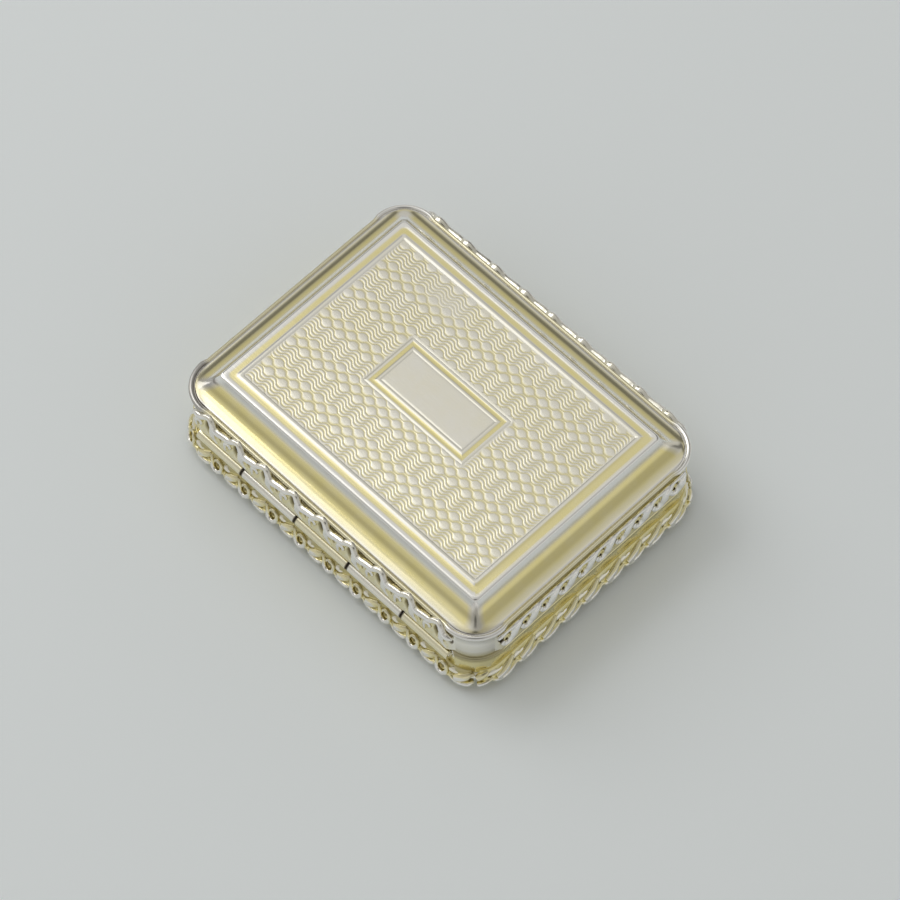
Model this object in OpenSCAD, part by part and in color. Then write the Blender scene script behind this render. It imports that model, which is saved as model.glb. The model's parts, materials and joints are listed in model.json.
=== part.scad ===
// Silver vinaigrette: a small hinged scent box with a pierced inner grille.
// The origin is under the middle of the box, on the surface it stands on.
// X runs along the box, the hinge is on the +Y side and Z points up.

/* [Box] */
// Length over the plain side walls
box_l = 37.4; // [35:0.1:42]
// Width over the plain side walls
box_w = 28.4; // [26:0.1:32]
// Outside radius of the upright corners
corner_r = 3.2; // [2.8:0.1:4]
// Thickness of the side walls
wall_t = 0.6; // [0.55:0.05:0.8]
// Height of the base's side, from its lower rim to the joint
base_side_h = 3.4; // [3.3:0.1:5]
// Height of the lid's side, from the joint to its upper rim
lid_side_h = 4.6; // [4.4:0.1:7]
// Gap between the closed lid and the base
joint_gap = 0.06; // [0.04:0.01:0.12]
// Thickness of the beaten sheet of the two dished plates
sheet_t = 0.45; // [0.3:0.05:0.6]

/* [Dished plates] */
// Height of the lid's panel above its rim
lid_rise = 1.8; // [1.4:0.1:2.4]
// Depth of the base's panel below its rim
base_drop = 1.2; // [1:0.1:1.8]
// Flat margin between the wall's face and the hollow slope
rim_flat = 0.3; // [0.2:0.05:0.5]
// Width of the hollow slope between the margin and the panel
slope_w = 2.7; // [2.2:0.1:3.2]
// Radius of the panel's rounded edge
panel_edge_r = 0.3; // [0.2:0.05:0.4]
// Radius of the panel's corners, seen from above
panel_corner_r = 1; // [0.6:0.1:1.4]
// Radius of the bead round the lid's corners
bead_r = 0.2; // [0.15:0.01:0.25]
// Radius of the stouter bead round the base's corners
base_bead_r = 0.4; // [0.3:0.01:0.45]

/* [Lid panel] */
// Distance from the panel's edge to the chased frame groove
frame_margin = 0.2; // [0.15:0.05:0.6]
// Width of the chased frame groove
frame_groove_w = 0.55; // [0.3:0.05:0.6]
// Length of the vacant cartouche, over its groove
cartouche_l = 11.4; // [8:0.1:14]
// Width of the vacant cartouche, over its groove
cartouche_w = 5.6; // [4:0.1:8]
// Place of the cartouche along the panel, from its middle
cartouche_x = 0.5; // [-1:0.1:1]
// Place of the cartouche across the panel, from its middle
cartouche_y = -0.3; // [-1:0.1:1]
// Width of the groove round the cartouche
cartouche_groove_w = 0.35; // [0.25:0.05:0.5]
// Depth of the chased grooves
groove_d = 0.12; // [0.08:0.01:0.18]

/* [Scroll borders] */
// Thickness of a border's ground
border_ground_t = 0.3; // [0.25:0.05:0.35]
// Thickness of a border through its scrolls
border_scroll_t = 0.55; // [0.5:0.01:0.6]
// Thickness of a border through its bosses and flowers
border_boss_t = 0.75; // [0.7:0.01:0.8]
// Length of one scroll motif of the lid's borders
motif_pitch = 5.1; // [4.5:0.1:6]
// Length of one scroll motif of the base's borders
base_motif_pitch = 3.4; // [3:0.1:4]
// Plain polished length left at each end of a side
border_end = 0.25; // [0.1:0.05:0.6]
// Height that the lid border's crests stand above the rim
crest_h = 0.3; // [0.1:0.05:0.5]
// Gap between the joint and the borders on the hinge side
hinge_side_gap = 0.95; // [0.9:0.01:1.1]
// Gap between the joint and the lid's borders on the other sides
lid_side_gap = 0.8; // [0.75:0.05:1]
// Height of the base's borders
base_border_h = 1.8; // [1.5:0.05:2]
// Height of the base border's lower tips above the surface
base_border_z = 0.9; // [0.6:0.05:1.2]

/* [Lip lines] */
// Distance that the lid's two lip lines stand out from the wall
lip_out = 0.12; // [0.08:0.01:0.15]
// Height of the lower lip line
lip_low_h = 0.24; // [0.2:0.01:0.3]
// Height of the groove between the lip lines
lip_gap = 0.12; // [0.08:0.01:0.15]
// Height of the upper lip line
lip_high_h = 0.2; // [0.15:0.01:0.25]

/* [Lid hinge] */
// Outside radius of the hinge barrel
barrel_r = 0.55; // [0.5:0.01:0.6]
// Distance of the hinge axis outside the wall's face
barrel_out = 0.2; // [0.18:0.01:0.25]
// Length of the whole barrel
barrel_l = 31.6; // [28:0.1:33]
// Length of the middle knuckle with one gap
middle_pitch = 6.6; // [5:0.1:8]
// Length of the second and fourth knuckles with one gap
inner_pitch = 6.8; // [5:0.1:8]
// Gap between two knuckles
knuckle_gap = 0.14; // [0.1:0.01:0.2]
// Radius of the hinge pin
pin_r = 0.25; // [0.2:0.01:0.3]
// Radial clearance of a pin in its knuckles
pin_fit = 0.03; // [0.02:0.01:0.06]
// Clearance of the barrel in the walls' hollow
barrel_fit = 0.08; // [0.06:0.01:0.1]
// Depth of a knuckle's foot below the joint
foot_h = 0.75; // [0.7:0.01:0.8]
// Depth that a knuckle's foot goes into the wall behind the barrel
foot_back = 0.05; // [0.03:0.01:0.08]

/* [Inside] */
// Thickness of the bezel that lines the base
bezel_t = 0.4; // [0.3:0.05:0.5]
// Height that the bezel stands above the joint
bezel_up = 0.6; // [0.4:0.05:1]
// Depth that the bezel reaches below the joint
bezel_down = 1.7; // [1.5:0.05:1.75]
// Gap between the bezel and the closed lid's wall
bezel_fit = 0.12; // [0.1:0.01:0.2]
// Width of the ledge under the grille
ledge_w = 0.5; // [0.4:0.05:0.8]
// Height of the ledge under the grille
ledge_h = 0.4; // [0.3:0.05:0.5]
// Thickness of the pierced grille
grille_t = 0.45; // [0.35:0.05:0.5]
// Depth of the grille's face below the joint
grille_down = 0.2; // [0.15:0.05:0.3]
// Gap between the grille and the bezel
grille_fit = 0.3; // [0.25:0.05:0.5]
// Gap between the grille and its ledge
grille_rest = 0.05; // [0.03:0.01:0.1]
// Radius of the grille's lift tab
tab_r = 1; // [0.8:0.1:1.3]
// Thickness of the lift tab
tab_t = 0.3; // [0.25:0.05:0.4]
// Depth that the lift tab is let into the grille
tab_set = 0.1; // [0.05:0.01:0.15]
// Clearance round the sponge
sponge_fit = 0.3; // [0.2:0.05:0.5]

/* [Piercing] */
// Plain margin between the grille's edge and its pierced field
pierce_margin = 1.2; // [1:0.1:2]
// Radius of the large curled slots
curl_r = 3.5; // [3:0.1:3.8]
// Width of the large curled slots
curl_w = 0.8; // [0.6:0.05:1]
// Radius of the small curled slots
small_curl_r = 1.9; // [1.6:0.1:2.2]
// Width of the small curled slots
small_curl_w = 0.7; // [0.5:0.05:0.8]
// Radius of the round holes
hole_r = 0.55; // [0.4:0.05:0.7]
// Length of the large pierced leaves
leaf_l = 2.8; // [2.2:0.1:3.2]
// Width of the large pierced leaves
leaf_w = 1.1; // [0.8:0.05:1.2]
// Length of the small pierced leaves
small_leaf_l = 2.2; // [1.8:0.1:2.4]
// Width of the small pierced leaves
small_leaf_w = 0.85; // [0.6:0.05:0.95]
// Radius of the rosette's ring of petals
rosette_r = 1.9; // [1.8:0.1:2.2]
// Length of a rosette petal
petal_l = 1.9; // [1.6:0.1:2]
// Width of a rosette petal
petal_w = 0.8; // [0.6:0.05:0.9]

/* [Grille hinge] */
// Outside radius of the grille's knuckles
grille_barrel_r = 0.4; // [0.36:0.01:0.42]
// Length of one grille knuckle with one gap
grille_pitch = 4.1; // [3:0.1:6]
// Radius of the grille's pin
grille_pin_r = 0.17; // [0.14:0.01:0.2]
// Gap between the grille's plate and its knuckles
grille_edge_gap = 0.15; // [0.1:0.01:0.25]
// Gap between the grille's knuckles and the bezel
grille_barrel_gap = 0.05; // [0.04:0.01:0.1]

/* [Hidden] */
$fn = 48;
silver = [0.83, 0.82, 0.76];
gilt = [0.80, 0.71, 0.42];
cream = [0.86, 0.78, 0.60];
over = 1;

// Heights of the main levels
base_rim_z = base_drop;
joint_z = base_rim_z + base_side_h;
lid_rim_z = joint_z + lid_side_h;
base_wall_z = base_rim_z + sheet_t;
lid_wall_z = lid_rim_z - sheet_t;
lip_groove_z = joint_z + joint_gap + lip_low_h;

// Inside of the bezel
bezel_in = wall_t + bezel_t;
bezel_l = box_l - 2 * bezel_in;
bezel_w = box_w - 2 * bezel_in;
bezel_r = corner_r - bezel_in;

// Straight lengths of the sides between the rounded corners
straight_l = box_l - 2 * corner_r;
straight_w = box_w - 2 * corner_r;

// Hinge lines
hinge_y = box_w / 2 + barrel_out;
seat_y = hinge_y - barrel_r - foot_back;
grille_top_z = joint_z - grille_down;
grille_z = grille_top_z - grille_t;
grille_axis_y = bezel_w / 2 - grille_barrel_gap - grille_barrel_r;
grille_axis_z = grille_z + grille_t / 2;
grille_back_y = grille_axis_y - grille_barrel_r - grille_edge_gap;
ledge_z = grille_z - grille_rest - ledge_h;

// Half sizes of the grille's pierced field
field_x = bezel_l / 2 - grille_fit - pierce_margin;
field_y = bezel_w / 2 - grille_fit - pierce_margin;

// A rectangle with rounded corners, centred
module round_rect(l, w, r) {
  union() {
    square([l - 2 * r, w], center = true);
    square([l, w - 2 * r], center = true);
    for (x = [-1, 1])
      for (y = [-1, 1])
        translate([x * (l / 2 - r), y * (w / 2 - r)])
          circle(r);
  }
}

// An upright rounded block from z0 to z1, drawn in from the wall's face by inset
module round_block(inset, z0, z1) {
  translate([0, 0, z0])
    linear_extrude(z1 - z0)
      round_rect(box_l - 2 * inset, box_w - 2 * inset, corner_r - inset);
}

// An upright rounded ring between two insets
module round_ring(inset_out, inset_in, z0, z1) {
  difference() {
    round_block(inset_out, z0, z1);
    round_block(inset_in, z0 - over, z1 + over);
  }
}

// A round bead on the wall's face at height z, round each corner up to the borders
module bead(r, z) {
  for (turn = [0 : 3]) {
    x = (turn == 0 || turn == 3) ? 1 : -1;
    y = (turn < 2) ? 1 : -1;
    translate([x * straight_l / 2, y * straight_w / 2, z]) {
      rotate([0, 0, 90 * turn])
        rotate_extrude(angle = 90)
          translate([corner_r, 0])
            circle(r);
      translate([0, y * corner_r, 0])
        rotate([0, -90 * x, 0])
          cylinder(r = r, h = border_end);
      translate([x * corner_r, 0, 0])
        rotate([90 * y, 0, 0])
          cylinder(r = r, h = border_end);
    }
  }
}

// Radius of a hollow slope that starts level and climbs rise over run
function slope_r(run, rise) = (run * run + rise * rise) / (2 * rise);

// Section of what is cut away over a hollow slope, from the wall's face inward
module slope_section(start, run, rise) {
  r = slope_r(run, rise);
  union() {
    translate([-over, 0])
      square([over + start, rise + 2 * over]);
    intersection() {
      translate([start, r])
        circle(r);
      square([start + run, rise]);
    }
    translate([0, rise])
      square([start + run, 2 * over]);
  }
}

// The four hollow slopes of a dished plate
module slopes(start, run, rise) {
  for (side = [-1, 1]) {
    translate([-box_l, side * box_w / 2, 0])
      mirror([0, side > 0 ? 1 : 0, 0])
        rotate([90, 0, 90])
          linear_extrude(2 * box_l)
            slope_section(start, run, rise);
    translate([side * box_l / 2, box_w, 0])
      mirror([side > 0 ? 1 : 0, 0, 0])
        rotate([90, 0, 0])
          linear_extrude(2 * box_w)
            slope_section(start, run, rise);
  }
}

// A dished plate with its rim at z = 0 and its panel at z = rise
module dished_plate(rise) {
  edge_rise = rise - panel_edge_r;
  difference() {
    round_block(0, -sheet_t, rise);
    slopes(rim_flat, slope_w - panel_edge_r, edge_rise);
    difference() {
      round_block(-over, edge_rise, rise + over);
      panel_edge(edge_rise);
    }
    difference() {
      round_block(wall_t, -sheet_t - over, rise - sheet_t);
      translate([0, 0, -sheet_t])
        slopes(wall_t, rim_flat + slope_w + sheet_t - wall_t - panel_edge_r, rise);
    }
  }
}

// The rounded edge of a dished plate's panel
module panel_edge(z) {
  l = box_l - 2 * (rim_flat + slope_w);
  w = box_w - 2 * (rim_flat + slope_w);
  intersection() {
    translate([0, 0, z])
      rotate([90, 0, 90])
        linear_extrude(2 * box_l, center = true)
          panel_section(w);
    translate([0, 0, z])
      rotate([90, 0, 0])
        linear_extrude(2 * box_w, center = true)
          panel_section(l);
    translate([0, 0, z - 2 * over])
      linear_extrude(4 * over)
        round_rect(l + 2 * panel_edge_r, w + 2 * panel_edge_r, panel_corner_r);
  }
}

// Section of the panel with rounded upper edges
module panel_section(w) {
  union() {
    translate([-w / 2, -over])
      square([w, over + panel_edge_r]);
    for (side = [-1, 1])
      translate([side * w / 2, 0])
        circle(panel_edge_r);
    translate([-w / 2 - panel_edge_r, -over])
      square([w + 2 * panel_edge_r, over]);
  }
}

// A rectangular groove, measured over its outer edges, below the plane z = 0
module groove(l, w, groove_w) {
  difference() {
    cube([l, w, 2 * groove_d], center = true);
    cube([l - 2 * groove_w, w - 2 * groove_w, 4 * groove_d], center = true);
  }
}

// A leaf with two pointed ends, lying along X
module leaf(l, w) {
  r = (l * l + w * w) / (4 * w);
  intersection() {
    translate([0, r - w / 2])
      circle(r);
    translate([0, w / 2 - r])
      circle(r);
  }
}

// A wedge from the centre, between two angles less than half a turn apart
module wedge(reach, from, to) {
  polygon([
    [0, 0],
    [reach * cos(from), reach * sin(from)],
    [reach * 1.4 * cos((from + to) / 2), reach * 1.4 * sin((from + to) / 2)],
    [reach * cos(to), reach * sin(to)]
  ]);
}

// A C-shaped scroll with its opening between two angles
module c_scroll(r, w, from, to) {
  difference() {
    circle(r);
    circle(r - w);
    wedge(2 * r, from, to);
  }
}

// Flat outline of a border's ground, with two lobes to each motif
module border_ground(motifs, p, h) {
  union() {
    square([motifs * p, 0.62 * h]);
    for (i = [0 : motifs - 1]) {
      translate([(i + 0.31) * p, 0.58 * h])
        circle(0.42 * h);
      translate([(i + 0.76) * p, 0.46 * h])
        circle(0.35 * h);
    }
  }
}

// Flat outline of one border motif's scrolls and leaves
module motif_scrolls(p, h) {
  union() {
    translate([0.31 * p, 0.58 * h])
      c_scroll(0.37 * h, 0.14 * h, -100, -5);
    translate([0.76 * p, 0.46 * h])
      c_scroll(0.29 * h, 0.11 * h, 95, 185);
    translate([0.56 * p, 0.74 * h])
      rotate(-38)
        leaf(0.5 * h, 0.2 * h);
    translate([0.2 * p, 0.12 * h])
      rotate(18)
        leaf(0.46 * h, 0.17 * h);
    translate([0.5 * p, 0.13 * h])
      rotate(-18)
        leaf(0.46 * h, 0.17 * h);
  }
}

// Flat outline of one border motif's boss and flower
module motif_bosses(p, h) {
  translate([0.31 * p + 0.27 * h, 0.5 * h])
    circle(0.12 * h);
  translate([0.76 * p, 0.46 * h])
    union() {
      for (petal = [0 : 4])
        rotate(72 * petal + 18)
          translate([0.085 * h, 0])
            circle(0.062 * h);
    }
}

// A scroll border lying on the plane z = 0, centred along X, with its foot at y = 0
module border(l, h, pitch) {
  motifs = max(1, round(l / pitch));
  p = l / motifs;
  translate([-l / 2, 0, 0]) {
    linear_extrude(border_ground_t)
      intersection() {
        border_ground(motifs, p, h);
        square([l, 2 * h]);
      }
    for (i = [0 : motifs - 1])
      translate([i * p, 0, 0]) {
        linear_extrude(border_scroll_t)
          motif_scrolls(p, h);
        linear_extrude(border_boss_t)
          motif_bosses(p, h);
      }
  }
}

// A border stood up against the wall on one side, turned about Z from the front
module side_border(turn, distance, z, l, h, pitch, down) {
  rotate([0, 0, turn])
    translate([0, -distance, z])
      rotate([90, 0, 0])
        translate([0, down ? h : 0, 0])
          mirror([0, down ? 1 : 0, 0])
            border(l, h, pitch);
}

// One border of the lid, with its crests over the rim
module lid_border(turn, distance, straight, gap) {
  z = joint_z + gap;
  h = lid_rim_z + crest_h - z;
  color(silver)
    side_border(turn, distance, z, straight - 2 * border_end, h, motif_pitch, false);
}

// One border of the base, with its tips pointing down
module base_border(turn, distance, straight) {
  l = straight - 2 * border_end;
  color(silver)
    side_border(turn, distance, base_border_z, l, base_border_h, base_motif_pitch, true);
}

// The hollow in a wall that clears the whole hinge barrel
module barrel_hollow() {
  translate([-barrel_l / 2 - barrel_fit, hinge_y, joint_z])
    rotate([0, 90, 0])
      cylinder(r = barrel_r + barrel_fit, h = barrel_l + 2 * barrel_fit);
}

// Where a knuckle starts and ends along X, counted from the left
function knuckle_edges() = [
  -barrel_l / 2, -middle_pitch / 2 - inner_pitch, -middle_pitch / 2,
  middle_pitch / 2, middle_pitch / 2 + inner_pitch, barrel_l / 2
];
function knuckle_start(i) = knuckle_edges()[i - 1] + (i > 1 ? knuckle_gap / 2 : 0);
function knuckle_end(i) = knuckle_edges()[i] - (i < 5 ? knuckle_gap / 2 : 0);

// Square seat in a wall for one knuckle's foot, below the joint or above it
module knuckle_seat(i, up) {
  translate([knuckle_start(i), seat_y, joint_z - (up ? over : foot_h)])
    cube([knuckle_end(i) - knuckle_start(i), box_w, over + foot_h]);
}

// One lid-hinge knuckle: a bored barrel with a square foot
module knuckle(i, up) {
  length = knuckle_end(i) - knuckle_start(i);
  foot_w = box_w / 2 - seat_y;
  color(silver)
    difference() {
      union() {
        translate([knuckle_start(i), hinge_y, joint_z])
          rotate([0, 90, 0])
            cylinder(r = barrel_r, h = length);
        translate([knuckle_start(i), seat_y, joint_z - (up ? 0 : foot_h)])
          cube([length, foot_w, foot_h]);
      }
      translate([knuckle_start(i) - over, hinge_y, joint_z])
        rotate([0, 90, 0])
          cylinder(r = pin_r + pin_fit, h = length + 2 * over);
    }
}

// A curled slot with round ends, open between two angles
module c_slot(r, w, from, to) {
  union() {
    c_scroll(r + w / 2, w, from, to);
    for (a = [from, to])
      rotate(a)
        translate([r, 0])
          circle(w / 2);
  }
}

// One quarter of the grille's piercing, placed by shares of the field's half sizes
module pierced_quarter() {
  translate([0.53 * field_x, 0.43 * field_y]) {
    c_slot(curl_r, curl_w, 165, 235);
    c_slot(small_curl_r, small_curl_w, -20, 60);
    circle(hole_r);
  }
  translate([0.87 * field_x, 0.77 * field_y])
    rotate(30)
      leaf(leaf_l, leaf_w);
  translate([0.88 * field_x, 0.38 * field_y])
    rotate(75)
      leaf(leaf_l, leaf_w);
  translate([0.2 * field_x, 0.7 * field_y])
    rotate(-40)
      leaf(leaf_l, leaf_w);
  translate([0.26 * field_x, 0.27 * field_y])
    rotate(38)
      leaf(small_leaf_l, small_leaf_w);
  translate([0.78 * field_x, 0.11 * field_y])
    rotate(-20)
      leaf(small_leaf_l, small_leaf_w);
}

// The pierced flower in the middle of the grille
module rosette() {
  circle(hole_r);
  for (petal = [0 : 7])
    rotate(45 * petal + 22.5)
      translate([rosette_r, 0])
        leaf(petal_l, petal_w);
}

// Outline of the grille, with its straight edge along the hinge
module grille_outline() {
  l = bezel_l - 2 * grille_fit;
  w = bezel_w - 2 * grille_fit;
  intersection() {
    round_rect(l, w, bezel_r);
    translate([-l / 2, -w / 2])
      square([l, w / 2 + grille_back_y]);
  }
}

// One grille-hinge knuckle with a foot that reaches to y = foot_y
module grille_knuckle(i, foot_y) {
  length = grille_pitch - knuckle_gap;
  x = (i - 2.5) * grille_pitch + knuckle_gap / 2;
  low_y = min(foot_y, grille_axis_y);
  color(gilt)
    difference() {
      union() {
        translate([x, grille_axis_y, grille_axis_z])
          rotate([0, 90, 0])
            cylinder(r = grille_barrel_r, h = length);
        translate([x, low_y, grille_axis_z - grille_t / 2])
          cube([length, abs(foot_y - grille_axis_y), grille_t]);
      }
      translate([x - over, grille_axis_y, grille_axis_z])
        rotate([0, 90, 0])
          cylinder(r = grille_pin_r + pin_fit, h = length + 2 * over);
    }
}

// Sub-parts of the base
module base_plate() {
  color(silver)
    translate([0, 0, base_rim_z])
      mirror([0, 0, 1])
        dished_plate(base_drop);
}

module base_band() {
  color(gilt)
    difference() {
      union() {
        round_ring(0, wall_t, base_wall_z, joint_z);
        difference() {
          bead(base_bead_r, base_wall_z + base_bead_r);
          round_block(wall_t, base_wall_z - over, joint_z);
        }
      }
      barrel_hollow();
      for (i = [1, 3, 5])
        knuckle_seat(i, false);
    }
}

module base_bezel() {
  color(gilt)
    union() {
      round_ring(wall_t, bezel_in, joint_z - bezel_down, joint_z - joint_gap);
      difference() {
        round_ring(wall_t + bezel_fit, bezel_in, joint_z - bezel_down, joint_z + bezel_up);
        translate([-box_l / 2, bezel_w / 2 - bezel_r, joint_z - joint_gap])
          cube([box_l, box_w, bezel_up + over]);
      }
    }
}

module grille_ledge() {
  color(gilt)
    difference() {
      round_ring(bezel_in, bezel_in + ledge_w, ledge_z, ledge_z + ledge_h);
      translate([-box_l / 2, bezel_w / 2 - bezel_r, ledge_z - over])
        cube([box_l, box_w, ledge_h + 2 * over]);
    }
}

module base_border_front() {
  base_border(0, box_w / 2, straight_l);
}

module base_border_back() {
  base_border(180, box_w / 2, straight_l);
}

module base_border_left() {
  base_border(270, box_l / 2, straight_w);
}

module base_border_right() {
  base_border(90, box_l / 2, straight_w);
}

module hinge_pin() {
  color(silver)
    translate([-barrel_l / 2, hinge_y, joint_z])
      rotate([0, 90, 0])
        cylinder(r = pin_r, h = barrel_l);
}

module sponge() {
  low_inset = rim_flat + slope_w + sheet_t + sponge_fit;
  color(cream)
    union() {
      round_block(bezel_in + ledge_w + sponge_fit, base_wall_z + sponge_fit, ledge_z);
      translate([0, 0, sheet_t + sponge_fit / 2])
        linear_extrude(base_wall_z)
          square([box_l - 2 * low_inset, box_w - 2 * low_inset], center = true);
    }
}

// Sub-parts of the grille
module grille_plate() {
  color(gilt)
    union() {
      translate([0, 0, grille_z])
        linear_extrude(grille_t)
          difference() {
            grille_outline();
            for (x = [0, 1])
              for (y = [0, 1])
                mirror([x, 0])
                  mirror([0, y])
                    pierced_quarter();
            rosette();
          }
      translate([0, -bezel_w / 2 + grille_fit + tab_t, grille_top_z - tab_set])
        rotate([90, 0, 0])
          linear_extrude(tab_t)
            intersection() {
              circle(tab_r);
              translate([-tab_r, 0])
                square([2 * tab_r, tab_r]);
            }
    }
}

module grille_pin() {
  color(gilt)
    translate([-1.5 * grille_pitch + knuckle_gap / 2, grille_axis_y, grille_axis_z])
      rotate([0, 90, 0])
        cylinder(r = grille_pin_r, h = 3 * grille_pitch - knuckle_gap);
}

// Sub-parts of the lid
module lid_plate() {
  l = box_l - 2 * (rim_flat + slope_w + frame_margin);
  w = box_w - 2 * (rim_flat + slope_w + frame_margin);
  color(silver)
    translate([0, 0, lid_rim_z])
      difference() {
        dished_plate(lid_rise);
        translate([0, 0, lid_rise])
          groove(l, w, frame_groove_w);
        translate([cartouche_x, cartouche_y, lid_rise])
          groove(cartouche_l, cartouche_w, cartouche_groove_w);
      }
}

module lid_band() {
  color(silver)
    difference() {
      union() {
        round_ring(0, wall_t, joint_z + joint_gap, lid_wall_z);
        difference() {
          bead(bead_r, lid_wall_z - bead_r);
          round_block(wall_t, joint_z, lid_wall_z + over);
        }
        round_ring(-lip_out, wall_t, joint_z + joint_gap, lip_groove_z);
        round_ring(-lip_out, wall_t, lip_groove_z + lip_gap, lip_groove_z + lip_gap + lip_high_h);
      }
      barrel_hollow();
      for (i = [2, 4])
        knuckle_seat(i, true);
    }
}

module lid_border_front() {
  lid_border(0, box_w / 2, straight_l, lid_side_gap);
}

module lid_border_back() {
  lid_border(180, box_w / 2, straight_l, hinge_side_gap);
}

module lid_border_left() {
  lid_border(270, box_l / 2, straight_w, lid_side_gap);
}

module lid_border_right() {
  lid_border(90, box_l / 2, straight_w, lid_side_gap);
}

base_plate();
base_band();
base_bezel();
grille_ledge();
base_border_front();
base_border_back();
base_border_left();
base_border_right();
knuckle(1, false);  // hinge_knuckle_1
knuckle(2, true);  // hinge_knuckle_2
knuckle(3, false);  // hinge_knuckle_3
knuckle(4, true);  // hinge_knuckle_4
knuckle(5, false);  // hinge_knuckle_5
hinge_pin();
grille_plate();
grille_knuckle(1, bezel_w / 2);  // grille_knuckle_1
grille_knuckle(2, grille_back_y);  // grille_knuckle_2
grille_knuckle(3, bezel_w / 2);  // grille_knuckle_3
grille_pin();
sponge();
lid_plate();
lid_band();
lid_border_front();
lid_border_back();
lid_border_left();
lid_border_right();
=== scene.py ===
# %% [markdown]
# # A silver-gilt vinaigrette
# A vinaigrette is a tiny hinged box that held a scented sponge under a pierced grille.
# The lid here is raised from sheet, engine turned on top and framed by a hollow slope.
# Cast scroll borders are soldered round both halves, and a five-knuckle hinge joins them.
# The lesson loads the measured parts as a frame and dresses each one with a finer mesh.

# %% Load the frame
import json
import math
from collections import namedtuple
from contextlib import contextmanager

import bpy
import numpy as np
from mathutils import Matrix, Vector


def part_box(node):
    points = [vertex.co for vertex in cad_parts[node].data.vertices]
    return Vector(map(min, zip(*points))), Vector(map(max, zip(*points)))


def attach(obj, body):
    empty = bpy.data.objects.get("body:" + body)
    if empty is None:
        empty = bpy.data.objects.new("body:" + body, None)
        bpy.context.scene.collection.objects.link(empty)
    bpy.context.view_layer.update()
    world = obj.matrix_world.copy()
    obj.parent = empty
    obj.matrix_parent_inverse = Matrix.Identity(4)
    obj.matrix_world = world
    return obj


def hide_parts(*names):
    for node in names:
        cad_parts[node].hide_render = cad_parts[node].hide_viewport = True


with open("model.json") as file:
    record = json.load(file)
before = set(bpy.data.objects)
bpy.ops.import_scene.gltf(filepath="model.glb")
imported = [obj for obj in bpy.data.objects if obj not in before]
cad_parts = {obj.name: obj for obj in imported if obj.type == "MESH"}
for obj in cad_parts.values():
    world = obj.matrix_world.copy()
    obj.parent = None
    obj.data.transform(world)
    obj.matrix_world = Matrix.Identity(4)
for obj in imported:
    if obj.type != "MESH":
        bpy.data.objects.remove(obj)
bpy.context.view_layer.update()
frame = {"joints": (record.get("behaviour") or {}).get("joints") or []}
MM = 0.001

# %% [markdown]
# ## Measures
# Every place comes from the frame's own boxes, so a piece lands where its solid is.
# The wall's face, the joint and the rim are the three levels that all pieces share.
# Sizes are in millimetres throughout, and `MM` turns them into Blender's metres.

# %% Measures from the frame
def span(node, axis):
    """Lowest and highest place of a node along one axis, in millimetres."""
    low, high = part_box(node)
    return low[axis] / MM, high[axis] / MM


WALL_X = span("base_plate", 0)[1]
WALL_Y = span("base_plate", 1)[1]
JOINT_Z = span("base_band", 2)[1]
BASE_WALL_Z = span("base_plate", 2)[1]
LID_WALL_Z, LID_TOP_Z = span("lid_plate", 2)
CORNER_R = 3.2
SHEET_T, WALL_T = 0.45, 0.6
LID_RIM_Z = LID_WALL_Z + SHEET_T
BASE_RIM_Z = BASE_WALL_Z - SHEET_T
lid_joint = next(joint for joint in frame["joints"] if joint["name"] == "lid_hinge")
HINGE = [place / MM for place in lid_joint["pos_m"]]
print("wall", WALL_X, WALL_Y, "joint", JOINT_Z, "rim", LID_RIM_Z, "top", LID_TOP_Z, "hinge", HINGE)

# %% [markdown]
# ## Camera
# The photograph looks down on the near corner with a long lens, so edges stay nearly parallel.
# The camera sits on that line of sight, and a small step aside puts the box off centre.

# %% Camera
VIEW_TURN, VIEW_RISE = math.radians(225.03), math.radians(60.42)
VIEW_AWAY, VIEW_ASIDE, VIEW_DOWN, VIEW_Z = 427.4, 0.97, 1.41, 6
LENS, SENSOR_W = 191.7, 36
back = Vector((math.sin(VIEW_TURN) * math.cos(VIEW_RISE),
               -math.cos(VIEW_TURN) * math.cos(VIEW_RISE), math.sin(VIEW_RISE)))
right = Vector((math.cos(VIEW_TURN), math.sin(VIEW_TURN), 0))
up = back.cross(right)
aim = Vector((0, 0, VIEW_Z)) + right * VIEW_ASIDE - up * VIEW_DOWN
camera_data = bpy.data.cameras.new("camera")
camera_data.sensor_width = SENSOR_W
camera_data.lens = LENS
camera_data.clip_start = 0.01
camera = bpy.data.objects.new("camera", camera_data)
camera.location = (aim + back * VIEW_AWAY) * MM
camera.rotation_mode = "QUATERNION"
camera.rotation_quaternion = (-back).to_track_quat("-Z", "Y")
bpy.context.scene.collection.objects.link(camera)
bpy.context.scene.camera = camera
bpy.context.scene.view_settings.view_transform = "Standard"
print("camera at", [round(c, 4) for c in camera.location])

# %% [markdown]
# ## Shader helpers
# Materials and sky are built from nodes. In the node editor one would drag a noodle or type a
# number into a socket; `node` does either, depending on what it is given.

# %% Shader helpers
def join_up(tree, made, values):
    """Gives a node its values: a setting, an input's value, or a socket that feeds an input."""
    for name, value in values.items():
        if name not in made.inputs:
            setattr(made, name, value)
        elif isinstance(value, bpy.types.NodeSocket):
            tree.links.new(value, made.inputs[name])
        else:
            made.inputs[name].default_value = value


def node(tree, kind, **values):
    """A new shader node with its values."""
    made = tree.nodes.new(kind)
    join_up(tree, made, values)
    return made


def reckon(tree, operation, *terms, clamp=False):
    """The result of a sum on sockets and numbers."""
    made = node(tree, "ShaderNodeMath", operation=operation, use_clamp=clamp)
    for socket, term in zip(made.inputs, terms):
        if isinstance(term, bpy.types.NodeSocket):
            tree.links.new(term, socket)
        else:
            socket.default_value = term
    return made.outputs[0]


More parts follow.
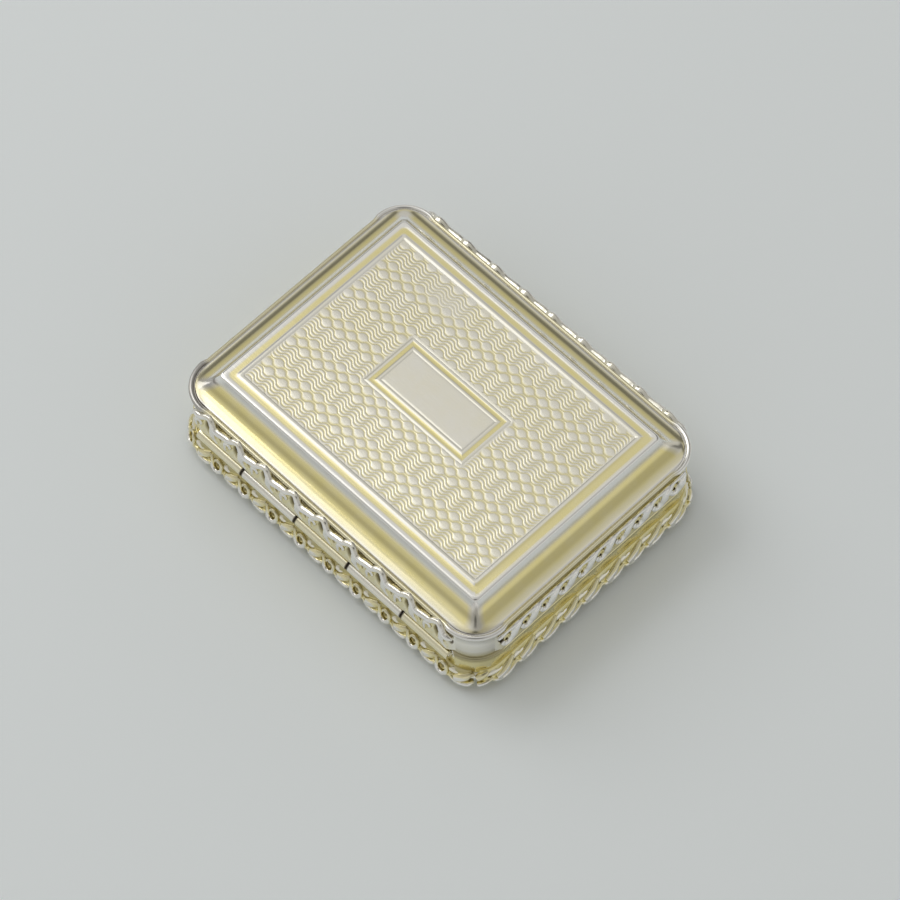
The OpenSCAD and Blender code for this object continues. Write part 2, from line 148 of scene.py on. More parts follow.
def blend(tree, amount, a, b):
    """One colour turning into another; each is a socket or a fixed colour."""
    return node(tree, "ShaderNodeMix", data_type="RGBA", Factor=amount, A=a, B=b).outputs["Result"]


def colour_ramp(tree, amount, stops):
    """The colour that a ramp of (place, colour) stops has for an amount."""
    ramp = node(tree, "ShaderNodeValToRGB", Fac=amount)
    marks = ramp.color_ramp.elements
    while len(marks) < len(stops):
        marks.new(0.5)
    for mark, (place, colour) in zip(marks, stops):
        mark.position = place
        mark.color = (*colour, 1)
    return ramp.outputs["Color"]


def new_material(name):
    """A new material, its node tree and its main shader."""
    made = bpy.data.materials.new(name)
    made.use_nodes = True
    return made, made.node_tree, made.node_tree.nodes["Principled BSDF"]


print("shader helpers ready")

# %% [markdown]
# ## Studio
# Polished metal shows what stands round it more than its own colour, so the sky is a painted studio.
# Its brightness changes with height. Behind the box a pale card stands between two dark gaps, and
# the far slopes mirror those as lines. A side card, a glow overhead and the dark camera lie over it.
# A wide soft box draws the white line along the hinge side's slope. The main light stands to the
# left, so the soft shadow falls to the right.

# %% Sky, lights and floor
FRONT_LEVELS = [(0.0, 0.6), (0.1, 0.64), (0.36, 0.58), (0.52, 0.44), (0.85, 0.42), (1.0, 0.5)]
CARD_LEVELS = [(0.0, 0.54), (0.5, 0.52), (0.88, 0.68), (1.0, 0.5)]
GAP_LEVELS = [(0.0, 0.54), (0.30, 0.54), (0.46, 0.44), (0.55, 0.17), (0.71, 0.17), (0.80, 0.5),
              (0.88, 0.66), (1.0, 0.5)]
BEHIND, BEHIND_FROM = (0.707, -0.707, 0), (-0.1, 0.4)
ACROSS, CARD_SIDES = (0.707, 0.707, 0), (0.08, 0.2)
SIDE_CARD = ((-0.93, -0.37, 0), 0.85, 0.96, 0.68)
OVERHEAD_GLOW = ((0.33, 0.30, 0.895), 0.90, 0.99, 0.72)
DARK_LENS = (tuple(back), 0.955, 0.985, 0.1)
BOX_AWAY = 0.6
PAPER = (0.915, 0.955, 0.965, 1)


def grey(level):
    """A slightly warm grey."""
    return (level, level * 0.995, level * 0.965)


def towards(tree, place, way, start, end, both_ways=False):
    """How far a direction lies towards one side of the studio: 0 at start and 1 at end."""
    facing = node(tree, "ShaderNodeVectorMath", operation="DOT_PRODUCT")
    facing.inputs[1].default_value = way
    tree.links.new(place, facing.inputs[0])
    value = facing.outputs["Value"]
    if both_ways:
        value = reckon(tree, "ABSOLUTE", value)
    limits = {"From Min": start, "From Max": end}
    return node(tree, "ShaderNodeMapRange", Value=value, **limits).outputs["Result"]


def studio_sky():
    """An even studio in front, cards and dark gaps behind, and three patches laid over both."""
    world = bpy.data.worlds.new("studio")
    world.use_nodes = True
    bpy.context.scene.world = world
    tree = world.node_tree
    place = node(tree, "ShaderNodeTexCoord").outputs["Generated"]
    height = node(tree, "ShaderNodeSeparateXYZ", Vector=place).outputs["Z"]
    front, card, gaps = (colour_ramp(tree, height, [(spot, grey(level)) for spot, level in levels])
                         for levels in (FRONT_LEVELS, CARD_LEVELS, GAP_LEVELS))
    behind = blend(tree, towards(tree, place, ACROSS, *CARD_SIDES, both_ways=True), card, gaps)
    sky = blend(tree, towards(tree, place, BEHIND, *BEHIND_FROM), front, behind)
    for way, start, end, level in (SIDE_CARD, OVERHEAD_GLOW, DARK_LENS):
        sky = blend(tree, towards(tree, place, way, start, end), sky, (*grey(level), 1))
    tree.links.new(sky, tree.nodes["Background"].inputs["Color"])


def soft_box(name, direction, size_x, size_y, glow):
    """A soft light that faces the object; glow is how bright its face looks."""
    lamp = bpy.data.lights.new(name, "AREA")
    lamp.shape = "RECTANGLE"
    lamp.size, lamp.size_y = size_x, size_y
    lamp.energy = glow * math.pi * size_x * size_y
    ob = bpy.data.objects.new(name, lamp)
    toward = Vector(direction).normalized()
    across = Vector((0, 1, 0)).cross(toward).normalized()
    facing = Matrix((across, toward.cross(across), toward)).transposed()
    ob.matrix_world = Matrix.Translation(toward * BOX_AWAY) @ facing.to_4x4()
    bpy.context.scene.collection.objects.link(ob)


studio_sky()
soft_box("slope_box", (0.45, -0.06, 0.89), 0.19, 0.30, 0.52)
soft_box("main_box", (0.70, 0.14, 0.70), 0.44, 0.36, 1.5)
bpy.ops.object.select_all(action="DESELECT")
bpy.ops.mesh.primitive_plane_add(size=3)
floor = bpy.context.object
floor.name = "floor"
paper, paper_tree, paper_shader = new_material("floor_paper")
join_up(paper_tree, paper_shader, {"Base Color": PAPER, "Roughness": 0.9})
floor.data.materials.append(paper)
print("studio ready")

# %% [markdown]
# ## Finishes
# The box is parcel gilt: gold lies in the hollows and silver shows where hands rubbed it off.
# Each mesh carries two painted values, `gilt` and `soil`, and one material reads them. The second holds
# dirt and, in places, painted shade.
# A fine noise breaks the edge of the gold, as wear does, and faint scratches soften the gloss.

# %% Metal and sponge finishes
SILVER, GOLD = (0.90, 0.885, 0.85, 1), (0.85, 0.755, 0.36, 1)
# The dark colour of dirt, also used for painted shade.
SOIL_AND_SHADE = (0.075, 0.055, 0.035, 1)
WEAR, SOIL_AND_SHADE_DULL = 0.35, 0.35
SCRATCH_TURN, SCRATCH_SCALE, SCRATCH_D = (0.3, 0.2, 0.6), (600, 9000, 6000), 0.00002
SPONGE_TONES = [(0.3, (0.36, 0.26, 0.13)), (0.7, (0.68, 0.55, 0.34))]


def parcel_gilt(name, rough_silver, rough_gold, wear_scale, scratch):
    """Silver metal with worn gilding, placed by the mesh's own gilt and soil values, the second being dirt
    and painted shade.
    """
    metal, tree, shader = new_material(name)
    place = node(tree, "ShaderNodeTexCoord").outputs["Object"]
    gilt = node(tree, "ShaderNodeAttribute", attribute_name="gilt").outputs["Fac"]
    soil = node(tree, "ShaderNodeAttribute", attribute_name="soil").outputs["Fac"]
    wear = node(tree, "ShaderNodeTexNoise", Vector=place, Scale=wear_scale, Detail=4.0, Roughness=0.6)
    sway = reckon(tree, "MULTIPLY_ADD", wear.outputs["Fac"], WEAR, -WEAR / 2)
    amount = reckon(tree, "ADD", gilt, sway, clamp=True)
    tint = blend(tree, soil, blend(tree, amount, SILVER, GOLD), SOIL_AND_SHADE)
    limits = {"To Min": rough_silver, "To Max": rough_gold}
    gloss = node(tree, "ShaderNodeMapRange", Value=amount, **limits).outputs["Result"]
    lie = node(tree, "ShaderNodeMapping", Vector=place, Rotation=SCRATCH_TURN, Scale=SCRATCH_SCALE)
    lines = node(tree, "ShaderNodeTexNoise", Vector=lie.outputs["Vector"], Scale=1.0, Detail=3.0)
    bump = node(tree, "ShaderNodeBump", Strength=scratch, Distance=SCRATCH_D, Height=lines.outputs["Fac"])
    join_up(tree, shader, {"Metallic": 1, "Base Color": tint, "Normal": bump.outputs["Normal"],
                           "Roughness": reckon(tree, "MULTIPLY_ADD", soil, SOIL_AND_SHADE_DULL, gloss)})
    return metal


def sponge_finish():
    """Dry old sponge: cream, mottled and quite matt."""
    sponge, tree, shader = new_material("old_sponge")
    place = node(tree, "ShaderNodeTexCoord").outputs["Object"]
    mottle = node(tree, "ShaderNodeTexNoise", Vector=place, Scale=900.0, Detail=5.0)
    tone = colour_ramp(tree, mottle.outputs["Fac"], SPONGE_TONES)
    pores = node(tree, "ShaderNodeTexVoronoi", Vector=place, Scale=1600.0)
    bump = node(tree, "ShaderNodeBump", Strength=0.8, Distance=0.0002, Height=pores.outputs["Distance"])
    join_up(tree, shader, {"Roughness": 0.95, "Base Color": tone, "Normal": bump.outputs["Normal"]})
    return sponge


PLATE_METAL = parcel_gilt("parcel_gilt_plate", 0.11, 0.15, 500, 0.12)
FIELD_METAL = parcel_gilt("parcel_gilt_turned", 0.20, 0.20, 500, 0.10)
BORDER_METAL = parcel_gilt("parcel_gilt_cast", 0.13, 0.20, 900, 0.15)
HINGE_METAL = parcel_gilt("parcel_gilt_hinge", 0.20, 0.24, 700, 0.25)
INNER_METAL = parcel_gilt("gilt_inside", 0.22, 0.26, 400, 0.15)
SPONGE_FINISH = sponge_finish()
metals = (PLATE_METAL, FIELD_METAL, BORDER_METAL, HINGE_METAL, INNER_METAL)
print("finishes:", [finish.name for finish in (*metals, SPONGE_FINISH)])

# %% [markdown]
# ## Helpers for meshes
# Most pieces start as a grid or a cylinder whose points are then moved, trimmed or bevelled.
# `settle` moves the points, `paint` writes gilding, soil and painted shade into them, and `weld` closes a
# form.
# `dress` comes last for every piece: it smooths it, gives it its finish and seats it on its body.

# %% Mesh helpers
def only(ob):
    """Makes one object the selected and active one."""
    bpy.ops.object.select_all(action="DESELECT")
    ob.select_set(True)
    bpy.context.view_layer.objects.active = ob


@contextmanager
def editing(ob):
    """Edit mode on one object while a block lasts, with all of it selected at first."""
    only(ob)
    bpy.ops.object.mode_set(mode="EDIT")
    bpy.ops.mesh.select_all(action="SELECT")
    yield
    bpy.ops.object.mode_set(mode="OBJECT")


def add(name, primitive, **values):
    """One of Blender's own primitives, under a name."""
    bpy.ops.object.select_all(action="DESELECT")
    primitive(**values)
    ob = bpy.context.object
    ob.name = name
    return ob


def modify(ob, kind, **values):
    """Adds a modifier with its settings and applies it."""
    only(ob)
    added = ob.modifiers.new(kind, kind)
    for name, value in values.items():
        setattr(added, name, value)
    bpy.ops.object.modifier_apply(modifier=added.name)


def points_of(ob):
    """Every point of a mesh, in metres."""
    points = np.empty(len(ob.data.vertices) * 3, np.float32)
    ob.data.vertices.foreach_get("co", points)
    return points.reshape(-1, 3)


def places_of(ob):
    """Every point of a mesh, in millimetres."""
    return points_of(ob) / MM


def sheet(name, columns, rows):
    """A flat grid, with the column and row number of each of its points."""
    ob = add(name, bpy.ops.mesh.primitive_grid_add, x_subdivisions=columns, y_subdivisions=rows, size=1)
    flat = points_of(ob)
    column = np.rint((flat[:, 0] + 0.5) * columns).astype(int)
    row = np.rint((flat[:, 1] + 0.5) * rows).astype(int)
    return ob, column, row


def settle(ob, x, y, z):
    """Moves every point of a mesh to its place, given in millimetres."""
    points = np.stack([x, y, z], axis=1).astype(np.float32) * MM
    ob.data.vertices.foreach_set("co", points.ravel())
    ob.data.update()


def paint(ob, name, values):
    """Writes one value per point into the mesh, for a material to read."""
    layer = ob.data.attributes.get(name) or ob.data.attributes.new(name, "FLOAT", "POINT")
    values = np.broadcast_to(np.asarray(values, np.float32), (len(ob.data.vertices),))
    layer.data.foreach_set("value", np.ascontiguousarray(np.clip(values, 0, 1)))


def weld(ob, fill=True):
    """Merges the points that meet, closes open ends and turns the faces outwards."""
    with editing(ob):
        bpy.ops.mesh.remove_doubles(threshold=0.000001)
        if fill:
            bpy.ops.mesh.select_all(action="DESELECT")
            bpy.ops.mesh.select_mode(type="EDGE")
            bpy.ops.mesh.select_non_manifold(extend=False)
            bpy.ops.mesh.fill_holes(sides=0)
        bpy.ops.mesh.select_all(action="SELECT")
        bpy.ops.mesh.normals_make_consistent(inside=False)
        bpy.ops.mesh.select_mode(type="VERT")


def trim(ob, place, outward):
    """Cuts a mesh by a plane and drops what lies outside."""
    with editing(ob):
        bpy.ops.mesh.bisect(plane_co=place, plane_no=outward, clear_outer=True, threshold=0.0000001)


def mesh_of(name, drawn):
    """The mesh that a drawn curve turns into."""
    ob = bpy.data.objects.new(name, drawn)
    bpy.context.scene.collection.objects.link(ob)
    only(ob)
    bpy.ops.object.convert(target="MESH")
    return bpy.context.object


def rod(name, centre, radius, start, end, sides):
    """A cylinder along X, from start to end."""
    return add(name, bpy.ops.mesh.primitive_cylinder_add, vertices=sides, radius=radius * MM,
               depth=(end - start) * MM, rotation=(0, math.pi / 2, 0),
               location=((start + end) / 2 * MM, centre[1] * MM, centre[2] * MM))


def soften(ob, width, segments):
    """Rounds the sharp edges of a piece with a bevel."""
    modify(ob, "BEVEL", width=width * MM, segments=segments, limit_method="ANGLE")


def dress(ob, body, metal, slot_name, *nodes, angle=35):
    """Smooths a finished piece, gives it its finish and seats it on its body."""
    only(ob)
    bpy.ops.object.shade_smooth_by_angle(angle=math.radians(angle))
    ob.data.materials.clear()
    ob.data.materials.append(metal)
    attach(ob, body)
    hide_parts(*nodes)
    ob.select_set(False)
    print(ob.name, "on", body, "-", len(ob.data.polygons), "faces")


def steps_up(x, low, high):
    """A smooth change from 0 below low to 1 above high."""
    t = np.clip((x - low) / (high - low), 0, 1)
    return t * t * (3 - 2 * t)


def stripe(x, rise, full, fade, end):
    """1 between full and fade, with a smooth change on either side."""
    return steps_up(x, rise, full) * (1 - steps_up(x, fade, end))


def soft_line(x, middle, width):
    """1 in the middle of a line and less the farther off it."""
    return np.exp(-((x - middle) / width) ** 2)


print("mesh helpers ready")

# %% [markdown]
# ## Helpers for rings
# Most of the box is sheet metal bent round a rounded rectangle. By hand one would add a grid and
# bend it. `wrap` does just that: the grid's columns become stations round the box, close together
# on the corners, and its rows follow a section of (inset, height) points drawn once.

# %% Ring helpers
ARC_STEPS, LONG_STEPS, SHORT_STEPS = 16, 48, 36
CORNER_SIDE = np.array([(1, 1), (-1, 1), (-1, -1), (1, -1)])


def stations():
    """Corner number, angle, share of the way to the next corner, and 1 on a corner, else 0."""
    corner, angle, share, on_corner = [], [], [], []
    for k in range(4):
        straight = (LONG_STEPS, SHORT_STEPS)[k % 2]
        corner += [k] * (ARC_STEPS + straight)
        angle += [(k + n / ARC_STEPS) * math.pi / 2 for n in range(ARC_STEPS)]
        angle += [(k + 1) * math.pi / 2] * straight
        share += [0.0] * ARC_STEPS + [n / straight for n in range(straight)]
        on_corner += [1.0] * (ARC_STEPS + 1) + [0.0] * (straight - 1)
    return [np.array(values) for values in (corner, angle, share, on_corner)]


RING_CORNER, RING_ANGLE, RING_SHARE, ON_CORNER = stations()
RING_STEPS = len(RING_CORNER)


def ring_xy(station, half_x, half_y, radius):
    """Places round a rounded rectangle, for station numbers and sizes of each point."""
    station = station % RING_STEPS
    corner, share = RING_CORNER[station], RING_SHARE[station]
    near, far = CORNER_SIDE[corner], CORNER_SIDE[(corner + 1) % 4]
    x = (near[:, 0] * (1 - share) + far[:, 0] * share) * (half_x - radius)
    y = (near[:, 1] * (1 - share) + far[:, 1] * share) * (half_y - radius)
    return x + radius * np.cos(RING_ANGLE[station]), y + radius * np.sin(RING_ANGLE[station])


def arc(mid, height, radius, start, end, steps):
    """Points of a section along a round stretch, angles in degrees."""
    return [(mid + radius * math.cos(math.radians(a)), height + radius * math.sin(math.radians(a)))
            for a in np.linspace(start, end, steps + 1)]


def wrap(name, section, corner_radius, half=(WALL_X, WALL_Y), middle=(0, 0, 0)):
    """A section carried round a rectangle, with each point's station, row, inset and height."""
    ob, station, row = sheet(name, RING_STEPS, len(section) - 1)
    inset, z = np.array(section)[row].T
    radius = np.array([corner_radius(d) for d, _ in section])[row]
    x, y = ring_xy(station, half[0] - inset, half[1] - inset, radius)
    settle(ob, x + middle[0], y + middle[1], z + middle[2])
    return ob, station % RING_STEPS, row, inset, z


def wall_corner(inset):
    """Corner radius of a ring that keeps the wall's thickness even."""
    return max(0.1, CORNER_R - inset)


print("ring of", RING_STEPS, "stations")

# %% [markdown]
# ## The lid's dished plate
# The plate is hammered down into a hollow slope that starts level at the rim and ends steep under
# the panel. Its corners are mitred, with a softened ridge where two slopes meet.
# One section is drawn from the underside, round the rolled rim, up the slope and over the edge.
# Lofting it round the box needs the corner radius to shrink inwards, which gives the ridge.

# %% Lid plate: shape
SLOPE_RUN, SLOPE_RISE, EDGE_RISE, RIM_FLAT = 2.3, 1.65, 0.15, 0.3
FIELD_INSET = 4.2
BEAD_R, BEAD_SINK, BEAD_STEPS, BEAD_SWELL = 0.2, 0.21, 16, 0.25
CREVICE = 0.215
LID_HOLLOW_R, LID_HOLLOW_SWEEP = 2.706, 70.4
PLATE_CORNERS = [(-1.0, CORNER_R + 1.0), (0.25, CORNER_R - 0.25), (0.6, 1.7), (1.0, 0.75), (1.5, 0.42),
                 (2.3, 0.38), (2.9, 0.6), (3.3, 0.45), (3.8, 0.25), (4.4, 0.12)]
PANEL_FRAME = [(3.02, 0.0), (3.12, -0.008), (3.22, -0.012), (3.34, -0.012), (3.46, -0.012), (3.58, -0.012),
               (3.68, -0.008), (3.76, 0.0), (3.82, 0.008), (3.88, 0.014), (3.95, 0.016), (4.02, 0.014),
               (4.08, 0.006), (4.15, -0.002), (4.20, -0.006), (4.24, -0.03), (4.26, -0.14)]


def plate_corner(inset):
    """Corner radius of the lid's rings: wide at the rim, a narrow ridge on the slope."""
    return float(np.interp(inset, *zip(*PLATE_CORNERS)))


def dished_outer(rim_z, rise, way):
    """Outer half of a dished plate's section, from the rolled rim to the panel's edge."""
    run_r = (SLOPE_RUN ** 2 + rise ** 2) / (2 * rise)
    end = math.degrees(math.asin(min(1, SLOPE_RUN / run_r)))
    edge_r = EDGE_RISE / (1 - math.cos(math.radians(end)))
    rim = arc(0.0, -BEAD_SINK, BEAD_R, 230, 15, BEAD_STEPS)
    start = [(CREVICE, -0.14), (0.24, -0.05), (0.28, -0.01)]
    slope = [(RIM_FLAT + run_r * math.sin(math.radians(a)), run_r * (1 - math.cos(math.radians(a))))
             for a in np.linspace(1.5, end, 24)]
    edge_mid = RIM_FLAT + SLOPE_RUN + edge_r * math.sin(math.radians(end))
    edge = arc(edge_mid, rise + EDGE_RISE - edge_r, edge_r, 90 + end, 90, 10)
    return [(d, rim_z + way * h) for d, h in rim + start + slope + edge[1:]]


lid_section = [(FIELD_INSET, LID_TOP_Z - SHEET_T)]
lid_section += [(WALL_T + LID_HOLLOW_R * math.sin(math.radians(a)),
                 LID_WALL_Z + LID_HOLLOW_R * (1 - math.cos(math.radians(a))))
                for a in np.linspace(LID_HOLLOW_SWEEP, 0, 16)]
lid_section += [(0.0, LID_WALL_Z)]
lid_first = len(lid_section)
lid_section += dished_outer(LID_RIM_Z, SLOPE_RISE, 1)
lid_section += [(d, LID_TOP_Z + h) for d, h in PANEL_FRAME]
lid_plate, station, row, inset, z = wrap("lid_dished_plate", lid_section, plate_corner)
corner = ON_CORNER[station]
swell = corner * ((row >= lid_first) & (row <= lid_first + BEAD_STEPS))
inset = inset + swell * (BEAD_SWELL * inset - 0.12)
z = z + swell * BEAD_SWELL * (z - LID_RIM_Z + BEAD_SINK)
radius = np.array([plate_corner(d) for d in inset])
x, y = ring_xy(station, WALL_X - inset, WALL_Y - inset, radius)
settle(lid_plate, x, y, z)
print("lid section of", len(lid_section), "points")

# %% [markdown]
# ## The lid's gilding, wear and painted shade
# Gilding and wear are painted by inset, the distance in from the wall. Gold is thick in the hollow of the
# slope, rubbed off towards the panel and on the corners, and whole again in the panel's frame.
# Dirt sits in the crevice beside the rim. A dark line of painted reflection runs along the top of each
# slope, and painted shade darkens the two corners at the hinge. The left end has a wider gilt frame than
# the other three sides.

# %% Lid plate: gilding, wear and painted shade
LINED = 0.92
HOLLOW_GOLD = [(0.55, 0.22, 0.6), (0.4, 0.6, 1.3)]
RUBBED_FAR, RUBBED_NEAR, RUBBED_CORNER = (1.3, 1.9), (2.1, 2.5), (0.8, 1.2)
FRAME_WIDE, FRAME_NARROW = (2.92, 3.12, 3.75, 3.95), (3.05, 3.28, 3.58, 3.80)
FRAME_GOLD, RIM_GOLD, LINE_GOLD, CORNER_BARE = 0.9, 0.55, 0.15, 0.8
CREVICE_SOIL, LEFT_CREVICE_SOIL, RIM_SOIL, PANEL_SOIL = 0.5, 0.15, 0.35, 0.12
FAR_DARK_REFLECTION, NEAR_DARK_REFLECTION = 0.62, 0.22
HINGE_RIM_SHADE, HINGE_MITRE_SHADE = (0.48, 0.1), (0.36, 0.28)
outside = row >= lid_first
far_side = np.maximum(x / WALL_X, -y / WALL_Y) > np.maximum(-x / WALL_X, y / WALL_Y)
left_end = WALL_X + x < np.minimum(WALL_X - x, np.minimum(WALL_Y - y, WALL_Y + y)) + 0.05
gold = sum(amount * steps_up(inset, start, full) for amount, start, full in HOLLOW_GOLD)
rubbed = np.where(far_side, steps_up(inset, *RUBBED_FAR), steps_up(inset, *RUBBED_NEAR))
gold = gold * (1 - rubbed) * (1 - CORNER_BARE * corner * steps_up(inset, *RUBBED_CORNER))
gold += FRAME_GOLD * np.where(left_end, stripe(inset, *FRAME_WIDE), stripe(inset, *FRAME_NARROW))
gold += RIM_GOLD * (1 - corner) * (inset < BEAD_R) + LINE_GOLD * steps_up(inset, 3.8, 3.9)
paint(lid_plate, "gilt", np.where(outside, gold, LINED))
soil = np.where(left_end, LEFT_CREVICE_SOIL, CREVICE_SOIL) * soft_line(inset, CREVICE, 0.03)
soil += RIM_SOIL * (1 - corner) * steps_up(-inset, 0.12, 0.19)
# Painted dark reflection lines along the top of each slope, narrow and strong on the far sides.
soil += np.where(far_side, FAR_DARK_REFLECTION * soft_line(inset, 2.2, 0.06),
                 NEAR_DARK_REFLECTION * soft_line(inset, np.where(left_end, 2.3, 2.5), 0.13))
# Painted shade on the two hinge corners, dimming the highlights of the rim and the mitre.
hinge_corner = corner * (y > 0)
slope = steps_up(inset, 0.2, 0.4)
soil += hinge_corner * np.where(x > 0, *HINGE_RIM_SHADE) * (1 - slope)
soil += hinge_corner * np.where(x > 0, *HINGE_MITRE_SHADE) * slope * (1 - steps_up(inset, 2.0, 2.5))
paint(lid_plate, "soil", np.where(outside, soil + PANEL_SOIL * steps_up(inset, 4.1, 4.2), 0))
weld(lid_plate)
dress(lid_plate, "lid", PLATE_METAL, "silver", "lid_plate", angle=40)

# %% [markdown]
# ## Engine turning
# A lathe with a wavy guide cut these lines: six side by side, then two that swing the other way
# and close a row of small round cells, then the next six. A bump map would flatten at grazing
# angles, so the lines are real. The grid's rows are bent to run along the waves, five rows to a
# line, and the field is then trimmed to its frame with bisect.

# %% Engine-turned field
WAVE_L, WAVE_A, SQUARENESS = 1.69, 0.20, 1.5
LINE_PITCH, LINES, CHAIN_STEP, REPEAT = 0.36, 6, 0.58, 3.56
LINE_HALF, CHAIN_HALF = 0.14, 0.24
FIRST_BLOCK_Y, BLOCKS, LINES_PAST = -9.4, range(-1, 7), 1.3
ACROSS_LINE, ACROSS_GAP = (-1, -0.5, 0, 0.5, 1), (1.1, 1.25, 1.4)
CUT_D, FIELD_T, COLUMN_W, FIELD_PAST = 0.016, 0.15, 0.125, 0.2
FIELD_Z = LID_TOP_Z - 0.01
FIELD_X, FIELD_Y = WALL_X - FIELD_INSET, WALL_Y - FIELD_INSET
CARTOUCHE, CARTOUCHE_HALF = (0.5, -0.3), (6.2, 3.15)
WORN, WORN_AT, WORN_SIZE = 0.6, (7.2, -8.0), (2.4, 1.2)
FIELD_GOLD, CUT_GOLD, CUT_SOIL, HAZE, HAZE_RUN = 0.2, 0.6, 0.06, 0.09, (-4, 14)
ROOM_SHARE, WIDE_GAP, SUNK_UNDER = 0.4, 1.3, 0.06


def turned_lines():
    """Height across the field, swing (+1 or -1) and half width of every cut line."""
    lines = []
    for k in BLOCKS:
        start = FIRST_BLOCK_Y + k * REPEAT
        swing = 1 if k % 2 == 0 else -1
        lines += [(start + n * LINE_PITCH, swing, LINE_HALF) for n in range(LINES)]
        last = start + (LINES - 1) * LINE_PITCH
        lines += [(last + CHAIN_STEP, -swing, CHAIN_HALF), (last + 2 * CHAIN_STEP, swing, CHAIN_HALF)]
    return [line for line in lines if abs(line[0]) < FIELD_Y + LINES_PAST]


def turned_rows(lines):
    """Rows of the field's grid: line number and share of the way across it."""
    rows = []
    for n in range(1, len(lines) - 1):
        rows += [(n, t) for t in ACROSS_LINE]
        if lines[n + 1][0] - lines[n][0] > WIDE_GAP * LINE_PITCH:
            rows += [(n, t) for t in ACROSS_GAP]
    return rows


def bent_rows(lines, number, t, wave):
    """Where a row runs, never past the middle to the next line, and how deep it is cut."""
    run = lines[:, :1] + WAVE_A * lines[:, 1:2] * wave
    here, above, below = (run[number + k, np.arange(len(wave))] for k in (0, 1, -1))
    room = np.where(t > 0, above - here, here - below)
    beside = np.clip(t, -1, 1) * np.minimum(lines[number, 2], ROOM_SHARE * room)
    y = here + np.where(t > 1, ROOM_SHARE * t * room, beside)
    depth = 0
    for k, line_y in ((0, here), (1, above), (-1, below)):
        aside = np.abs(y - line_y) / lines[number + k, 2]
        depth = np.maximum(depth, 0.5 + 0.5 * np.cos(math.pi * np.minimum(aside, 1)))
    return y, depth


def past_cartouche(x, y):
    """How far a place lies outside the cartouche, or inside where it is below 0."""
    return np.maximum(np.abs(x - CARTOUCHE[0]) - CARTOUCHE_HALF[0],
                      np.abs(y - CARTOUCHE[1]) - CARTOUCHE_HALF[1])


def drop_edge(ob, depth):
    """Extrudes a sheet's open edge downwards and closes it underneath."""
    with editing(ob):
        bpy.ops.mesh.select_mode(type="EDGE")
        bpy.ops.mesh.select_all(action="DESELECT")
        bpy.ops.mesh.select_non_manifold(extend=False)
        bpy.ops.mesh.extrude_edges_move(TRANSFORM_OT_translate={"value": (0, 0, -depth * MM)})
        bpy.ops.mesh.edge_face_add()
        bpy.ops.mesh.select_mode(type="VERT")


lines = np.array(turned_lines())
rows = turned_rows(lines)
columns = int(2 * (FIELD_X + FIELD_PAST) / COLUMN_W)
field, column, row = sheet("engine_turned_field", columns, len(rows) - 1)
x = -FIELD_X - FIELD_PAST + column * 2 * (FIELD_X + FIELD_PAST) / columns
number, across = np.array(rows)[row].T
number = number.astype(int)
wave = np.tanh(SQUARENESS * np.cos(2 * math.pi * (x - CARTOUCHE[0]) / WAVE_L)) / math.tanh(SQUARENESS)
y, depth = bent_rows(lines, number, across, wave)
worn = WORN * np.exp(-((x - WORN_AT[0]) / WORN_SIZE[0]) ** 2 - ((y - WORN_AT[1]) / WORN_SIZE[1]) ** 2)
edge = np.minimum(FIELD_X - np.abs(x), FIELD_Y - np.abs(y))
plain = past_cartouche(x, lines[number, 0])
cut = depth * (1 - worn) * steps_up(plain, 0.05, 0.3) * steps_up(edge, 0.0, 0.3)
under_cartouche = SUNK_UNDER * steps_up(-past_cartouche(x, y), -0.05, 0.35)
settle(field, x, y, FIELD_Z - CUT_D * cut - under_cartouche)
paint(field, "gilt", FIELD_GOLD + CUT_GOLD * cut)
paint(field, "soil", CUT_SOIL * cut + HAZE * steps_up(x, *HAZE_RUN))
for side in (-1, 1):
    trim(field, (side * FIELD_X * MM, 0, 0), (side, 0, 0))
    trim(field, (0, side * FIELD_Y * MM, 0), (0, side, 0))
drop_edge(field, FIELD_T)
dress(field, "lid", FIELD_METAL, "silver", "lid_plate", angle=50)

# %% [markdown]
# ## The vacant cartouche
# A plain panel waits in the middle for initials that were never cut. A gilt channel and a fine
# inner line frame it. It is a small plate of its own, lofted from a section like the lid's.

# %% Cartouche
CARTOUCHE_SECTION = [(0.0, -0.15), (0.0, -0.03), (0.10, -0.014), (0.20, -0.006), (0.30, -0.004),
                     (0.36, -0.010), (0.42, -0.014), (0.66, -0.014), (0.72, -0.010), (0.78, 0.0),
                     (0.86, 0.008), (0.94, 0.011), (1.02, 0.008), (1.08, -0.004), (1.14, -0.006),
                     (1.20, 0.0), (1.4, 0.0), (2.4, 0.0)]
CHANNEL, FINE_LINE = (0.3, 0.4, 0.68, 0.8), 1.11


def cartouche_corner(inset):
    """Corner radius of the cartouche's rings, nearly sharp."""
    return max(0.03, 0.12 - inset)


cartouche, _, _, inset, _ = wrap("vacant_cartouche", CARTOUCHE_SECTION, cartouche_corner,
                                 CARTOUCHE_HALF, (*CARTOUCHE, LID_TOP_Z))
paint(cartouche, "gilt", 0.18 + 0.75 * stripe(inset, *CHANNEL))
paint(cartouche, "soil", 0.3 * soft_line(inset, FINE_LINE, 0.04))
weld(cartouche)
dress(cartouche, "lid", PLATE_METAL, "silver", "lid_plate", angle=30)

# %% [markdown]
# ## The two side bands
# Each half has a plain band of sheet bent round the box and soldered at the corner.
# The lid's carries two fine raised lines along its lip, and the base's a broader one at its foot.
# The hinge barrel lies half inside both walls, so a long cylinder is taken out of each with a
# Boolean modifier. The near corner of the lid's band gets painted shade, darker towards its foot.

